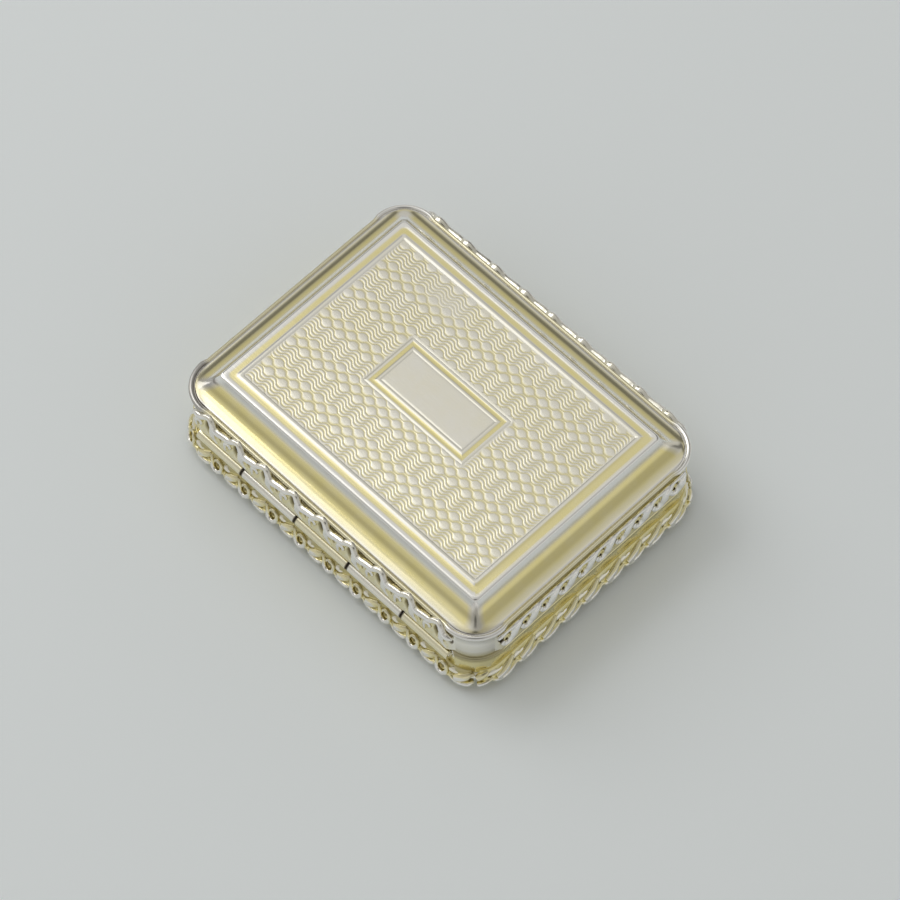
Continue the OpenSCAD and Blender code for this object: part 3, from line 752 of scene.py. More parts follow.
# %% Side bands
BARREL_R, BARREL_L, BARREL_FIT = 0.55, 31.6, 0.08
GAP = 0.06
LIP_OUT, LIP_SHARES = 0.12, (0.15, 0.35, 0.5, 0.65, 0.85)
FOOT_OUT, FOOT_RISE, FOOT_SHARES = 0.42, 0.75, (0.1, 0.25, 0.4, 0.55, 0.7, 0.85)
NEAR_CORNER, NEAR_CORNER_SHADE, NEAR_CORNER_SHADE_RUN = 1, 0.5, (6.9, 5.0)
LID_ROWS, LID_INNER_ROW, BASE_ROWS = (6.2, 7.4), 6.8, (3.2, 4.0)
CREASE_SOIL, FOOT_GOLD, WALL_GOLD = 0.6, 0.25, 0.9


def raised_line(low, rise, out, power, shares):
    """The rounded face of a raised line on the wall."""
    return [(-out * math.sin(math.pi * t) ** power, low + rise * t) for t in shares]


def lip_line(low, high):
    """One of the raised lines along the lid's lip."""
    return [(0.0, low)] + raised_line(low, high - low, LIP_OUT, 0.6, LIP_SHARES) + [(0.0, high)]


def barrel_cut(ob):
    """Takes the hinge barrel's hollow out of a wall."""
    end = BARREL_L / 2 + BARREL_FIT
    cutter = rod("barrel_hollow", HINGE, BARREL_R + BARREL_FIT, -end, end, 64)
    modify(ob, "BOOLEAN", operation="DIFFERENCE", object=cutter)
    bpy.data.objects.remove(cutter)


lid_low = JOINT_Z + GAP
lip = lip_line(lid_low, lid_low + 0.24) + lip_line(lid_low + 0.36, lid_low + 0.56)
lid_band_section = [(WALL_T, lid_low), (0.05, lid_low)] + lip + [
    *((0.0, height) for height in (*LID_ROWS, LID_WALL_Z)), (WALL_T, LID_WALL_Z),
    (WALL_T, LID_INNER_ROW), (WALL_T, lid_low)]
lid_band, station, _, inset, z = wrap("lid_side_band", lid_band_section, wall_corner)
corner = ON_CORNER[station]
near_lip = steps_up(z, lid_low + 1.6, lid_low + 0.5)
inner = inset > WALL_T / 2
paint(lid_band, "gilt", np.where(inner, LINED, 0.35 + 0.4 * near_lip - 0.25 * corner * (1 - near_lip)))
crease = (np.abs(z - lid_low - 0.3) < 0.09) | (z < lid_low + 0.01) | (z > LID_WALL_Z - 0.01)
near_corner = corner * (RING_CORNER[station] == NEAR_CORNER) * (inset < WALL_T / 2)
# Painted shade on the near corner of the band, darker towards its foot.
near_corner_shade = NEAR_CORNER_SHADE * near_corner * steps_up(z, *NEAR_CORNER_SHADE_RUN)
paint(lid_band, "soil", np.where((inset < 0.06) & (inset > -0.02) & crease, CREASE_SOIL, near_corner_shade))
weld(lid_band, fill=False)
barrel_cut(lid_band)
dress(lid_band, "lid", PLATE_METAL, "silver", "lid_band", angle=40)

foot_line = [(0.0, BASE_WALL_Z)] + raised_line(BASE_WALL_Z, FOOT_RISE, FOOT_OUT, 0.7, FOOT_SHARES)
base_band_section = [(WALL_T, BASE_WALL_Z), (0.1, BASE_WALL_Z)] + foot_line + [
    *((0.0, height) for height in (BASE_WALL_Z + 0.8, *BASE_ROWS, JOINT_Z - 0.04)), (0.04, JOINT_Z),
    (WALL_T, JOINT_Z), (WALL_T, BASE_WALL_Z)]
base_band, _, _, inset, z = wrap("base_side_band", base_band_section, wall_corner)
paint(base_band, "gilt", np.where(inset < -0.2, FOOT_GOLD, WALL_GOLD))
paint(base_band, "soil", np.where((z > JOINT_Z - 0.05) & (inset < 0.1), CREASE_SOIL, 0))
weld(base_band, fill=False)
barrel_cut(base_band)
dress(base_band, "base", PLATE_METAL, "gilt", "base_band", angle=40)

# %% [markdown]
# ## The base's dished plate
# The underside repeats the lid's form, shallower and without engine turning.
# A light haze of wear silvers its flat, where the box has slid on tables.

# %% Base plate
BASE_RISE, BASE_FLAT, BASE_HOLLOW = 1.05, 3.8, 2.85
base_section = [(BASE_FLAT, SHEET_T)]
base_section += [(WALL_T + BASE_HOLLOW * math.sin(t * math.pi / 2),
                  BASE_WALL_Z - (BASE_WALL_Z - SHEET_T) * (1 - math.cos(t * math.pi / 2)))
                 for t in np.linspace(1, 0, 14)]
base_section += [(0.0, BASE_WALL_Z)]
base_first = len(base_section)
base_section += dished_outer(BASE_RIM_Z, BASE_RISE, -1)
base_section += [(BASE_FLAT, 0.0)]
base_plate, _, row, inset, _ = wrap("base_dished_plate", base_section, plate_corner)
outside = row >= base_first
gold = 0.85 * stripe(inset, 0.35, 0.8, 2.4, 2.8) + 0.3 * steps_up(inset, 3.0, 3.4)
paint(base_plate, "gilt", np.where(outside, gold, 0.9))
paint(base_plate, "soil", np.where(outside, 0.8 * soft_line(inset, 0.42, 0.05), 0))
weld(base_plate)
dress(base_plate, "base", PLATE_METAL, "silver", "base_plate", angle=40)

# %% [markdown]
# ## Scroll borders: the motifs
# The borders were cast in strips. A thick ribbon runs along the edge and waves in and out as well
# as up and down. On the lid's long sides it arches over niches and sends stems down over a leaf; on
# the ends thick S strands hang from it; round the base lie leaves and cups.
# A ribbon's points are (along, below the edge, out from the wall, thickness). A scroll's third value
# says how far its middle stands off the leaf, so most of it lies sunk. A hollow is its middle and
# half sizes. The body says how far the leaf stands out, from its foot to the ribbon.

# %% Ribbon and scroll motifs
# low_soil is how much painted shade the low parts of a border get.
Motif = namedtuple("Motif", "pitch ribbon scrolls hollows body gold low_soil")
LID_LONG = Motif(
    pitch=3.66,
    ribbon=[(-0.85, 0.54, 0.44, 0.33), (-0.40, 0.28, 0.33, 0.31), (0.05, 0.12, 0.27, 0.30),
            (0.42, 0.22, 0.33, 0.33), (0.72, 0.52, 0.43, 0.37), (1.00, 0.74, 0.48, 0.39),
            (1.40, 0.78, 0.50, 0.39), (1.85, 0.70, 0.48, 0.37), (2.35, 0.62, 0.46, 0.35)],
    scrolls=[[(0.78, 0.50, 0.0, 0.34), (0.78, 1.00, 0.06, 0.38), (0.74, 1.60, 0.05, 0.37),
              (0.86, 2.30, 0.0, 0.26), (1.22, 2.85, 0.0, 0.16)],
             [(-1.45, 2.70, 0.0, 0.16), (-1.42, 1.90, 0.05, 0.22), (-1.26, 1.30, 0.08, 0.24),
              (-0.95, 1.12, 0.08, 0.22), (-0.76, 1.50, 0.05, 0.19), (-0.90, 1.95, 0.02, 0.12)]],
    hollows=[(0.02, 1.62, 0.48, 1.04), (-1.10, 0.88, 0.26, 0.14), (1.50, 2.00, 0.16, 0.44)],
    body=((0, 0.06, 0.3, 0.7, 1), (0.40, 0.46, 0.46, 0.45, 0.42)),
    gold=(0.08, 0.62, 0.50, 0.72),
    low_soil=0)
LID_FRONT = LID_LONG._replace(ribbon=[(u, min(below, 0.58), max(out, 0.45), thick + 0.05)
                                      for u, below, out, thick in LID_LONG.ribbon])
LID_END = Motif(
    pitch=2.45,
    ribbon=[(0.00, 0.92, 0.20, 0.24), (0.60, 0.88, 0.24, 0.27), (1.20, 0.80, 0.29, 0.31),
            (1.80, 0.86, 0.26, 0.27)],
    scrolls=[[(1.75, 0.86, 0.0, 0.28), (1.35, 0.94, 0.04, 0.38), (1.00, 1.22, 0.06, 0.44),
              (0.75, 1.70, 0.06, 0.44), (0.48, 2.20, 0.05, 0.36), (0.08, 2.52, 0.05, 0.31),
              (-0.36, 2.52, 0.05, 0.26), (-0.60, 2.20, 0.04, 0.21), (-0.42, 1.92, 0.02, 0.15)]],
    hollows=[(1.74, 1.90, 0.24, 0.40), (0.12, 1.44, 0.20, 0.26), (-0.12, 2.16, 0.14, 0.16)],
    body=((0, 0.05, 0.3, 0.7, 1), (0.20, 0.28, 0.30, 0.30, 0.28)),
    gold=(0.05, 0.75, 0.28, 0.42),
    low_soil=0)
BASE_BODY = ((0, 0.15, 0.4, 0.7, 1), (0.05, 0.20, 0.32, 0.42, 0.48))
BASE_GOLD = (0.08, 0.8, 0.62, 0.82)
BASE_LONG = Motif(
    pitch=3.66,
    ribbon=[(-0.05, 0.30, 0.48, 0.20), (0.30, 0.10, 0.56, 0.24), (0.80, 0.02, 0.60, 0.27),
            (1.40, 0.06, 0.60, 0.27), (1.80, 0.30, 0.50, 0.22), (2.15, 0.16, 0.54, 0.22),
            (2.65, 0.00, 0.60, 0.24), (3.10, 0.12, 0.57, 0.23), (3.36, 0.28, 0.49, 0.20)],
    scrolls=[[(0.30, 0.42, -0.06, 0.40), (0.74, 0.62, -0.08, 0.50), (1.20, 0.90, -0.08, 0.46),
              (1.66, 1.30, -0.06, 0.26)],
             [(1.70, 1.36, 0.0, 0.18), (2.00, 0.80, 0.08, 0.21), (2.20, 0.28, 0.12, 0.23),
              (2.64, 0.06, 0.12, 0.24), (3.08, 0.26, 0.12, 0.23), (3.24, 0.72, 0.12, 0.21),
              (3.08, 1.18, 0.14, 0.20), (2.68, 1.36, 0.14, 0.18), (2.34, 1.16, 0.14, 0.15),
              (2.30, 0.90, 0.12, 0.11)]],
    hollows=[(2.65, 0.72, 0.44, 0.52), (1.74, 0.80, 0.16, 0.44), (3.62, 1.00, 0.20, 0.50)],
    body=BASE_BODY, gold=BASE_GOLD, low_soil=0.4)
BASE_END = Motif(
    pitch=2.8,
    ribbon=[(0.00, 0.28, 0.48, 0.20), (0.30, 0.10, 0.57, 0.25), (0.90, 0.00, 0.62, 0.27),
            (1.60, 0.04, 0.61, 0.27), (2.20, 0.18, 0.54, 0.24), (2.60, 0.32, 0.47, 0.20)],
    scrolls=[[(0.35, 0.36, -0.04, 0.34), (0.85, 0.50, -0.06, 0.46), (1.40, 0.74, -0.06, 0.48),
              (1.95, 1.05, -0.06, 0.38), (2.50, 1.34, -0.04, 0.20)]],
    hollows=[(0.10, 0.95, 0.28, 0.34), (2.55, 0.62, 0.14, 0.22)],
    body=BASE_BODY, gold=BASE_GOLD, low_soil=0.12)
print("scrolls in a motif:", [len(motif.scrolls) for motif in (LID_LONG, LID_END, BASE_LONG, BASE_END)])

# %% [markdown]
# ## Scroll borders: bars and leaf
# A strip is laid out flat and then bent against its wall and round the corners.
# Each curve becomes a round bar by a curve's bevel, thicker or thinner at each point, and is then
# converted to a mesh. Behind the bars stands the leaf: a grid that follows the ribbon at its edge,
# sinks into the hollows and is rolled back to the wall. Both thin out towards the strip's ends.
# No two repeats are quite alike: their places and thickness vary a little, always in the same way.

# %% Border bars and leaf
Half = namedtuple("Half", "body way drop beyond thin")
Strip = namedtuple("Strip", "half turn away straight edge_z depth end")
LID_HALF = Half("lid", 1, 0.2, 0.7, 0.45)
BASE_HALF = Half("base", -1, 0, 2.42, 0.8)
EDGE_DROP, LEAF_CELL = 0.24, 0.075
UNEVEN, THICK_LEAST, THICK_MOST = 0.08, 0.9, 1.1
RIBBON_BACK = np.array((0, 0.0, 0.14, 0.03))
RIPPLE_A, RIPPLE_L = 0.04, 0.61
END_TAPER, LEAF_FADE, LEAF_BACK, HOLLOW_SINK = 0.6, (-0.05, 0.8), -0.05, 0.75
hand = np.random.default_rng(7)


def flat_strip(half, node_name, side_turn, axis):
    """Where one border lies: its wall, its edge, how deep it hangs and how far it reaches."""
    low, high = span(node_name, 2)
    away, straight = ((WALL_Y, WALL_X - CORNER_R), (WALL_X, WALL_Y - CORNER_R))[axis]
    edge_z = high - half.drop if half.way > 0 else low
    depth = high - low - half.drop - EDGE_DROP
    return Strip(half, math.radians(side_turn), away, straight, edge_z, depth, straight + half.beyond)


def against_wall(strip, u, below, out):
    """Puts flat places (along, below the edge, out from the wall) on the strip's own wall."""
    bend = np.clip(np.abs(u) - strip.straight, 0, None) / CORNER_R
    x = np.where(bend > 0, np.sign(u) * (strip.straight + (CORNER_R + out) * np.sin(bend)), u)
    y = CORNER_R - strip.away - (CORNER_R + out) * np.cos(bend)
    cos, sin = math.cos(strip.turn), math.sin(strip.turn)
    return x * cos - y * sin, x * sin + y * cos, strip.edge_z - strip.half.way * (below + EDGE_DROP)


def curve_through(points, steps):
    """Places along a smooth curve through a few points."""
    points = np.array(points, float)
    ends = np.vstack([2 * points[0] - points[1], points, 2 * points[-1] - points[-2]])
    places = []
    for a, b, c, d in zip(ends, ends[1:], ends[2:], ends[3:]):
        for t in np.arange(steps) / steps:
            places.append(0.5 * (2 * b + (c - a) * t + (2 * a - 5 * b + 4 * c - d) * t ** 2
                                 + (3 * b - a - 3 * c + d) * t ** 3))
    return np.array(places + [points[-1]])


def leaf_out(u, below, depth, ribbon, body):
    """How far the leaf stands out from the wall."""
    edge = np.interp(u, ribbon[:, 0], ribbon[:, 1])
    reach = np.interp(u, ribbon[:, 0], ribbon[:, 2])
    t = np.clip((depth - below) / (depth - edge), 0, 1)
    flat = np.interp(t, *body)
    return flat + (reach - flat) * steps_up(t, 0.55, 1.0)


def motif_runs(strip, motif):
    """The curves of a strip's bars, ribbon first, with its hollows and the pitch they repeat at."""
    count = round(2 * strip.end / motif.pitch)
    pitch = 2 * strip.end / count
    starts = -strip.end + (np.arange(-1, count + 1) + 0.5) * pitch
    uneven = starts + hand.uniform(-UNEVEN, UNEVEN, len(starts))

    def repeat(points, start):
        """A motif's points, stretched to the pitch and moved to their place."""
        return [(start + u * pitch / motif.pitch, *rest) for u, *rest in points]

    ribbon = curve_through([point for start in uneven for point in repeat(motif.ribbon, start)], 6)
    runs = [ribbon, ribbon - RIBBON_BACK]
    for scroll in motif.scrolls:
        for start in uneven:
            line = curve_through(repeat(scroll, start), 7)
            line[:, 2] += leaf_out(line[:, 0], line[:, 1], strip.depth, ribbon, motif.body)
            line[:, 3] *= hand.uniform(THICK_LEAST, THICK_MOST)
            runs.append(line)
    return runs, repeat(motif.hollows, starts[0]), pitch


def bars(name, strip, runs):
    """Round bars along runs of (along, below, out, thickness), thinner at the strip's ends."""
    drawn = bpy.data.curves.new(name, "CURVE")
    drawn.dimensions = "3D"
    drawn.bevel_depth = MM
    drawn.bevel_resolution = 3
    drawn.use_fill_caps = True
    thin = strip.half.thin
    for run in runs:
        run = run[np.abs(run[:, 0]) < strip.end]
        if len(run) < 4:
            continue
        line = drawn.splines.new("POLY")
        line.points.add(len(run) - 1)
        places = np.stack(against_wall(strip, *run.T[:3]), axis=1) * MM
        taper = thin + (1 - thin) * steps_up(strip.end - np.abs(run[:, 0]), 0, END_TAPER)
        for point, spot, thick in zip(line.points, places, run[:, 3] * taper):
            point.co = (*spot, 1)
            point.radius = thick
    return mesh_of(name, drawn)


def hollow_depth(u, below, hollows, pitch):
    """How deep a place lies in one of the hollows, from 0 to 1."""
    deep = np.zeros_like(u)
    for middle_u, middle_v, wide, tall in hollows:
        du = (u - middle_u + pitch / 2) % pitch - pitch / 2
        deep = np.maximum(deep, 1 - steps_up(np.hypot(du / wide, (below - middle_v) / tall), 0.65, 1.15))
    return deep


def leaf(name, strip, ribbon, body, hollows, pitch):
    """The leaf behind the bars: it meets the ribbon at its edge and sinks into the hollows."""
    columns, rows = int(2 * strip.end / LEAF_CELL), int(strip.depth / LEAF_CELL)
    ob, column, row = sheet(name, columns, rows + 3)
    u = -strip.end + column * (2 * strip.end) / columns
    edge = np.interp(u, ribbon[:, 0], ribbon[:, 1])
    t = np.clip((row - 1) / rows, 0, 1) * (row <= rows + 2)
    below = strip.depth + (edge - strip.depth) * t
    out = leaf_out(u, below, strip.depth, ribbon, body)
    deep = hollow_depth(u, below, hollows, pitch)
    ripple = RIPPLE_A * np.sin(2 * math.pi * (u + 0.5 * below) / RIPPLE_L) * steps_up(t, 0.1, 0.4) * (1 - t)
    front = (row >= 1) & (row <= rows + 1)
    out = np.where(front, (out + ripple) * (1 - HOLLOW_SINK * deep), LEAF_BACK)
    out *= np.where(front, steps_up(strip.end - np.abs(u), *LEAF_FADE), 1)
    settle(ob, *against_wall(strip, u, below, out))
    weld(ob)
    return ob


print("border helpers ready")

# %% [markdown]
# ## Scroll borders: casting
# A voxel remesh and a smooth modifier run bars and leaf together, as molten metal does.
# Gilding and soil are painted where the casting lies low, and silver shows where it stands high.
# On the lid the crest and the ends are rubbed to silver. Round the base painted shade darkens the low
# parts, most on the long sides.

# %% Cast borders
SIDES = {"front": (0, 0), "right": (90, 1), "back": (180, 0), "left": (270, 1)}
MELT_GRAIN, MELT_ROUNDS, PIT_ROUNDS = 0.065, 2, 40
PIT_GOLD, PIT_SOIL, PIT_LEAST, PIT_MOST = 4.0, 10.0, 0.038, 0.75
HOLLOW_SOIL, HOLLOW_OUT, LOW_OUT, UNDER_EDGE = 0.9, (0.32, 0.46), (0.3, 0.62), (0.15, 0.4)
CREST, CREST_BARE, END_GOLD, END_RUB = (0.5, 0.8), 0.7, 0.2, (0.1, 1.0)


def run_together(ob, grain, rounds):
    """Melts bars and leaf into one mass with soft fillets. The grain has a lower limit, so the
    mesh is a thousand times its size meanwhile."""
    settle(ob, *(places_of(ob) / MM).T)
    only(ob)
    ob.data.remesh_voxel_size = grain
    bpy.ops.object.voxel_remesh()
    modify(ob, "SMOOTH", factor=0.5, iterations=rounds)
    settle(ob, *(places_of(ob) * MM).T)


def hollowness(ob, values, rounds):
    """How far each point's value lies below those around it."""
    pairs = np.empty(len(ob.data.edges) * 2, int)
    ob.data.edges.foreach_get("vertices", pairs)
    a, b = pairs.reshape(-1, 2).T
    count = np.bincount(a, minlength=len(values)) + np.bincount(b, minlength=len(values))
    mean = values
    for _ in range(rounds):
        total = np.bincount(a, mean[b], len(values)) + np.bincount(b, mean[a], len(values))
        mean = total / np.maximum(count, 1)
    return mean - values


def paint_border(border, strip, motif, hollows, pitch):
    """Gold, soil and, round the base, painted shade where a border lies low, and silver where it is rubbed.
    """
    x, y, z = places_of(border).T
    out = np.hypot(np.clip(np.abs(x) - WALL_X + CORNER_R, 0, None),
                   np.clip(np.abs(y) - WALL_Y + CORNER_R, 0, None)) - CORNER_R
    cos, sin = math.cos(strip.turn), math.sin(strip.turn)
    along = x * cos + y * sin
    facing = strip.away - CORNER_R + y * cos - x * sin
    past = np.clip(np.abs(along) - strip.straight, 0, None)
    u = np.sign(along) * (np.minimum(np.abs(along), strip.straight) + CORNER_R * np.arctan2(past, -facing))
    below = np.abs(strip.edge_z - z)
    pit = hollowness(border, out, PIT_ROUNDS)
    base_gold, low_gold, low_out, high_out = motif.gold
    gilt = base_gold + low_gold * (1 - steps_up(out, low_out, high_out)) + PIT_GOLD * pit
    if strip.half.way > 0:
        crest = 1 - steps_up(below, *CREST)
        kept = END_GOLD + (1 - END_GOLD) * steps_up(strip.end - np.abs(u), *END_RUB)
        gilt *= (1 - CREST_BARE * crest) * kept
    paint(border, "gilt", gilt)
    deep = hollow_depth(u, below - EDGE_DROP, hollows, pitch) * (1 - steps_up(out, *HOLLOW_OUT))
    pit_soil = np.minimum(PIT_SOIL * (pit - PIT_LEAST), PIT_MOST) * steps_up(below, *UNDER_EDGE)
    # Painted shade in the low parts of the base's borders.
    low_soil = motif.low_soil * (1 - steps_up(out, *LOW_OUT))
    paint(border, "soil", np.maximum(np.maximum(pit_soil, low_soil), HOLLOW_SOIL * deep))


def cast_border(half, side, motif):
    """One border, cast against its wall, painted and seated."""
    node_name = f"{half.body}_border_{side}"
    name = f"{half.body}_scrolls_{side}"
    strip = flat_strip(half, node_name, *SIDES[side])
    runs, hollows, pitch = motif_runs(strip, motif)
    border = bars(name, strip, runs)
    backing = leaf(name + "_leaf", strip, runs[0], motif.body, hollows, pitch)
    only(border)
    backing.select_set(True)
    bpy.ops.object.join()
    run_together(border, MELT_GRAIN, MELT_ROUNDS)
    paint_border(border, strip, motif, hollows, pitch)
    dress(border, half.body, BORDER_METAL, "cast_border", node_name, angle=50)


for side, (_, axis) in SIDES.items():
    cast_border(LID_HALF, side, LID_FRONT if side == "front" else (LID_LONG, LID_END)[axis])
    cast_border(BASE_HALF, side, (BASE_LONG, BASE_END)[axis])

# %% [markdown]
# ## The five-knuckle hinge
# A tube was sawn into five and soldered in turn to base and lid, so the cuts show as dark lines.
# Each knuckle is a cylinder with its ends inset and sunk for the pin, then bevelled a little, and a
# block joins it to its wall. Bisect adds a ring near each end, so that soil can stop there.

# %% Hinge knuckles and pin
KNUCKLE_BORE, PIN_R, BORE_D, RIM_SOFT, FOOT_SOFT = 0.28, 0.25, 0.5, 0.05, 0.03
SAW_CUT, SAW_SOIL = 0.16, 0.9
LID_KNUCKLE_GOLD, BASE_KNUCKLE_GOLD = 0.15, 0.5


def tube(name, centre, radius, start, end, bore):
    """A knuckle along X with sunk ends and softened rims."""
    ob = rod(name, centre, radius, start, end, 48)
    bpy.ops.object.transform_apply()
    bpy.ops.object.mode_set(mode="EDIT")
    bpy.ops.mesh.select_mode(type="FACE")
    bpy.ops.object.mode_set(mode="OBJECT")
    for way in (1, -1):
        for face in ob.data.polygons:
            face.select = face.normal.x * way > 0.9
        bpy.ops.object.mode_set(mode="EDIT")
        bpy.ops.mesh.inset(thickness=(radius - bore) * MM)
        bpy.ops.mesh.extrude_region_move(TRANSFORM_OT_translate={"value": (-way * BORE_D * MM, 0, 0)})
        bpy.ops.object.mode_set(mode="OBJECT")
        for face in ob.data.polygons:
            face.select = False
    soften(ob, RIM_SOFT, 3)
    return ob


def add_foot(ob, low, high):
    """Joins a softened block to a knuckle, as the strip that it is soldered by."""
    middle = [(a + b) / 2 * MM for a, b in zip(low, high)]
    size = [(b - a) * MM for a, b in zip(low, high)]
    foot = add("foot", bpy.ops.mesh.primitive_cube_add, size=1, location=middle, scale=size)
    bpy.ops.object.transform_apply()
    with editing(foot):
        bpy.ops.mesh.bevel(offset=FOOT_SOFT * MM, segments=2)
    ob.select_set(True)
    bpy.context.view_layer.objects.active = ob
    bpy.ops.object.join()


def soil_ends(ob, start, end):
    """Soil in the saw cuts: a ring of edges near each inner end, dark from there outwards."""
    for place, way in ((start, 1), (end, -1)):
        with editing(ob):
            bpy.ops.mesh.bisect(plane_co=((place + way * SAW_CUT) * MM, 0, 0), plane_no=(1, 0, 0))
    x = places_of(ob)[:, 0]
    inner = [np.abs(x - place) for place in (start, end) if abs(place) < BARREL_L / 2 - 1]
    paint(ob, "soil", SAW_SOIL * (1 - steps_up(np.minimum.reduce(inner), 0.06, 0.9 * SAW_CUT)))


def pin(name, node_name, centre, radius):
    """A drawn wire with rounded ends."""
    ob = rod(name, centre, radius, *span(node_name, 0), 32)
    bpy.ops.object.transform_apply()
    soften(ob, 0.4 * radius, 4)
    return ob


for n in range(1, 6):
    node_name = f"hinge_knuckle_{n}"
    start, end = span(node_name, 0)
    low_z, high_z = span(node_name, 2)
    knuckle = tube(f"barrel_knuckle_{n}", HINGE, BARREL_R, start, end, KNUCKLE_BORE)
    on_lid = n % 2 == 0
    foot_low = (start, span(node_name, 1)[0], JOINT_Z if on_lid else low_z)
    foot_high = (end, WALL_Y - 0.01, high_z if on_lid else JOINT_Z)
    add_foot(knuckle, foot_low, foot_high)
    soil_ends(knuckle, start, end)
    paint(knuckle, "gilt", LID_KNUCKLE_GOLD if on_lid else BASE_KNUCKLE_GOLD)
    dress(knuckle, "lid" if on_lid else "base", HINGE_METAL, "hinge_silver", node_name, angle=40)
hinge_wire = pin("hinge_wire", "hinge_pin", HINGE, PIN_R)
dress(hinge_wire, "base", HINGE_METAL, "hinge_silver", "hinge_pin", angle=40)

# %% [markdown]
# ## Inside: bezel, ledge and grille hinge
# A gilt strip lines the base and stands up inside the lid, except along the hinge, where the lid
# needs room to swing and the strip's top points are lowered. The ledge under the grille follows
# three sides only, so bisect takes its hinge side away. Three small knuckles carry the grille.

# %% Bezel, ledge and grille hinge
INNER_GOLD = 0.9
BEZEL_IN, BEZEL_FACE, LEDGE_IN = 1.0, 0.72, 1.5
bezel_low, bezel_top = span("base_bezel", 2)
BACK_Y = span("grille_ledge", 1)[1]
grip = JOINT_Z - GAP
bezel_section = [(WALL_T + 0.01, bezel_low), (WALL_T + 0.01, grip), (BEZEL_FACE, grip),
                 (BEZEL_FACE, bezel_top - 0.06), (0.76, bezel_top), (0.96, bezel_top),
                 (BEZEL_IN, bezel_top - 0.06), (BEZEL_IN, grip), (BEZEL_IN, bezel_low),
                 (WALL_T + 0.01, bezel_low)]
bezel, *_ = wrap("lining_bezel", bezel_section, wall_corner)
x, y, z = places_of(bezel).T
settle(bezel, x, y, np.where(y > BACK_Y, np.minimum(z, grip), z))
paint(bezel, "gilt", INNER_GOLD)
weld(bezel, fill=False)
dress(bezel, "base", INNER_METAL, "gilt", "base_bezel", angle=40)

ledge_low, ledge_top = span("grille_ledge", 2)
ledge_section = [(BEZEL_IN, ledge_low), (BEZEL_IN, ledge_top), (LEDGE_IN - 0.06, ledge_top),
                 (LEDGE_IN, ledge_top - 0.05), (LEDGE_IN, ledge_low), (BEZEL_IN, ledge_low)]
ledge, *_ = wrap("grille_rest_ledge", ledge_section, wall_corner)
paint(ledge, "gilt", INNER_GOLD)
weld(ledge, fill=False)
trim(ledge, (0, BACK_Y * MM, 0), (0, 1, 0))
weld(ledge)
dress(ledge, "base", INNER_METAL, "gilt", "grille_ledge", angle=40)

GRILLE_T, GRILLE_BARREL_R, GRILLE_BORE, GRILLE_PIN_R = 0.45, 0.4, 0.2, 0.17
GRILLE_AXIS = (0, sum(span("grille_pin", 1)) / 2, sum(span("grille_pin", 2)) / 2)
for n in range(1, 4):
    node_name = f"grille_knuckle_{n}"
    start, end = span(node_name, 0)
    front_y, back_y = span(node_name, 1)
    on_grille = n == 2
    knuckle = tube(f"grille_barrel_{n}", GRILLE_AXIS, GRILLE_BARREL_R, start, end, GRILLE_BORE)
    foot_low = (start, front_y if on_grille else GRILLE_AXIS[1], GRILLE_AXIS[2] - GRILLE_T / 2)
    foot_high = (end, GRILLE_AXIS[1] if on_grille else back_y, GRILLE_AXIS[2] + GRILLE_T / 2)
    add_foot(knuckle, foot_low, foot_high)
    paint(knuckle, "gilt", INNER_GOLD)
    dress(knuckle, "grille" if on_grille else "base", INNER_METAL, "gilt", node_name, angle=40)
grille_wire = pin("grille_wire", "grille_pin", GRILLE_AXIS, GRILLE_PIN_R)
paint(grille_wire, "gilt", 0.7)
dress(grille_wire, "base", INNER_METAL, "gilt", "grille_pin", angle=40)

# %% [markdown]
# ## The pierced grille
# The grille kept the sponge in and let the scent out. It was sawn from sheet: curled slots, leaves
# and a rosette. A filled curve takes the outline and every opening at once, and its extrude and
# bevel give the plate its thickness and its filed edges. It becomes a mesh at the end.
# Outlines are complex numbers here, which are easy to turn and to mirror.

# %% Grille
GRILLE_GAP, GRILLE_RIM, FILED = 0.3, 1.2, 0.05
GRILLE_X, GRILLE_Y = WALL_X - BEZEL_IN - GRILLE_GAP, WALL_Y - BEZEL_IN - GRILLE_GAP
PIERCE_X, PIERCE_Y = GRILLE_X - GRILLE_RIM, GRILLE_Y - GRILLE_RIM
CURL_MIDDLE = (0.53, 0.43)
LONG_LEAF, SMALL_LEAF, PETAL, EYE_R = (2.8, 1.1), (2.2, 0.85), (1.9, 0.8), 0.55
PETALS, PETAL_OUT = 8, 1.9


def leaf_cut(length, width, steps=10):
    """Outline of a pierced leaf lying along X."""
    r = (length ** 2 + width ** 2) / (4 * width)
    half = math.asin(length / 2 / r)
    a = np.linspace(-half, half, steps + 1)
    top = r * np.sin(a) + 1j * (r * np.cos(a) - r + width / 2)
    return np.concatenate([top, np.conj(top[::-1])[1:-1]])


def curl_cut(radius, width, start, end, steps=20):
    """Outline of a curled slot with round ends, from start to end in degrees."""
    a = np.radians(np.linspace(start, end, steps + 1))
    cap = np.linspace(0, math.pi, 8)[1:-1]
    outer = (radius + width / 2) * np.exp(1j * a)
    inner = (radius - width / 2) * np.exp(1j * a[::-1])
    far = radius * np.exp(1j * a[-1]) + width / 2 * np.exp(1j * (a[-1] + cap))
    near = radius * np.exp(1j * a[0]) + width / 2 * np.exp(1j * (a[0] + math.pi + cap))
    return np.concatenate([outer, far, inner, near])


def round_cut(radius, steps=20):
    """Outline of a round hole."""
    return radius * np.exp(2j * math.pi * np.arange(steps) / steps)


def turned_by(shape, degrees, place):
    """A shape turned about its middle and moved to a place."""
    return shape * np.exp(1j * math.radians(degrees)) + complex(*place)


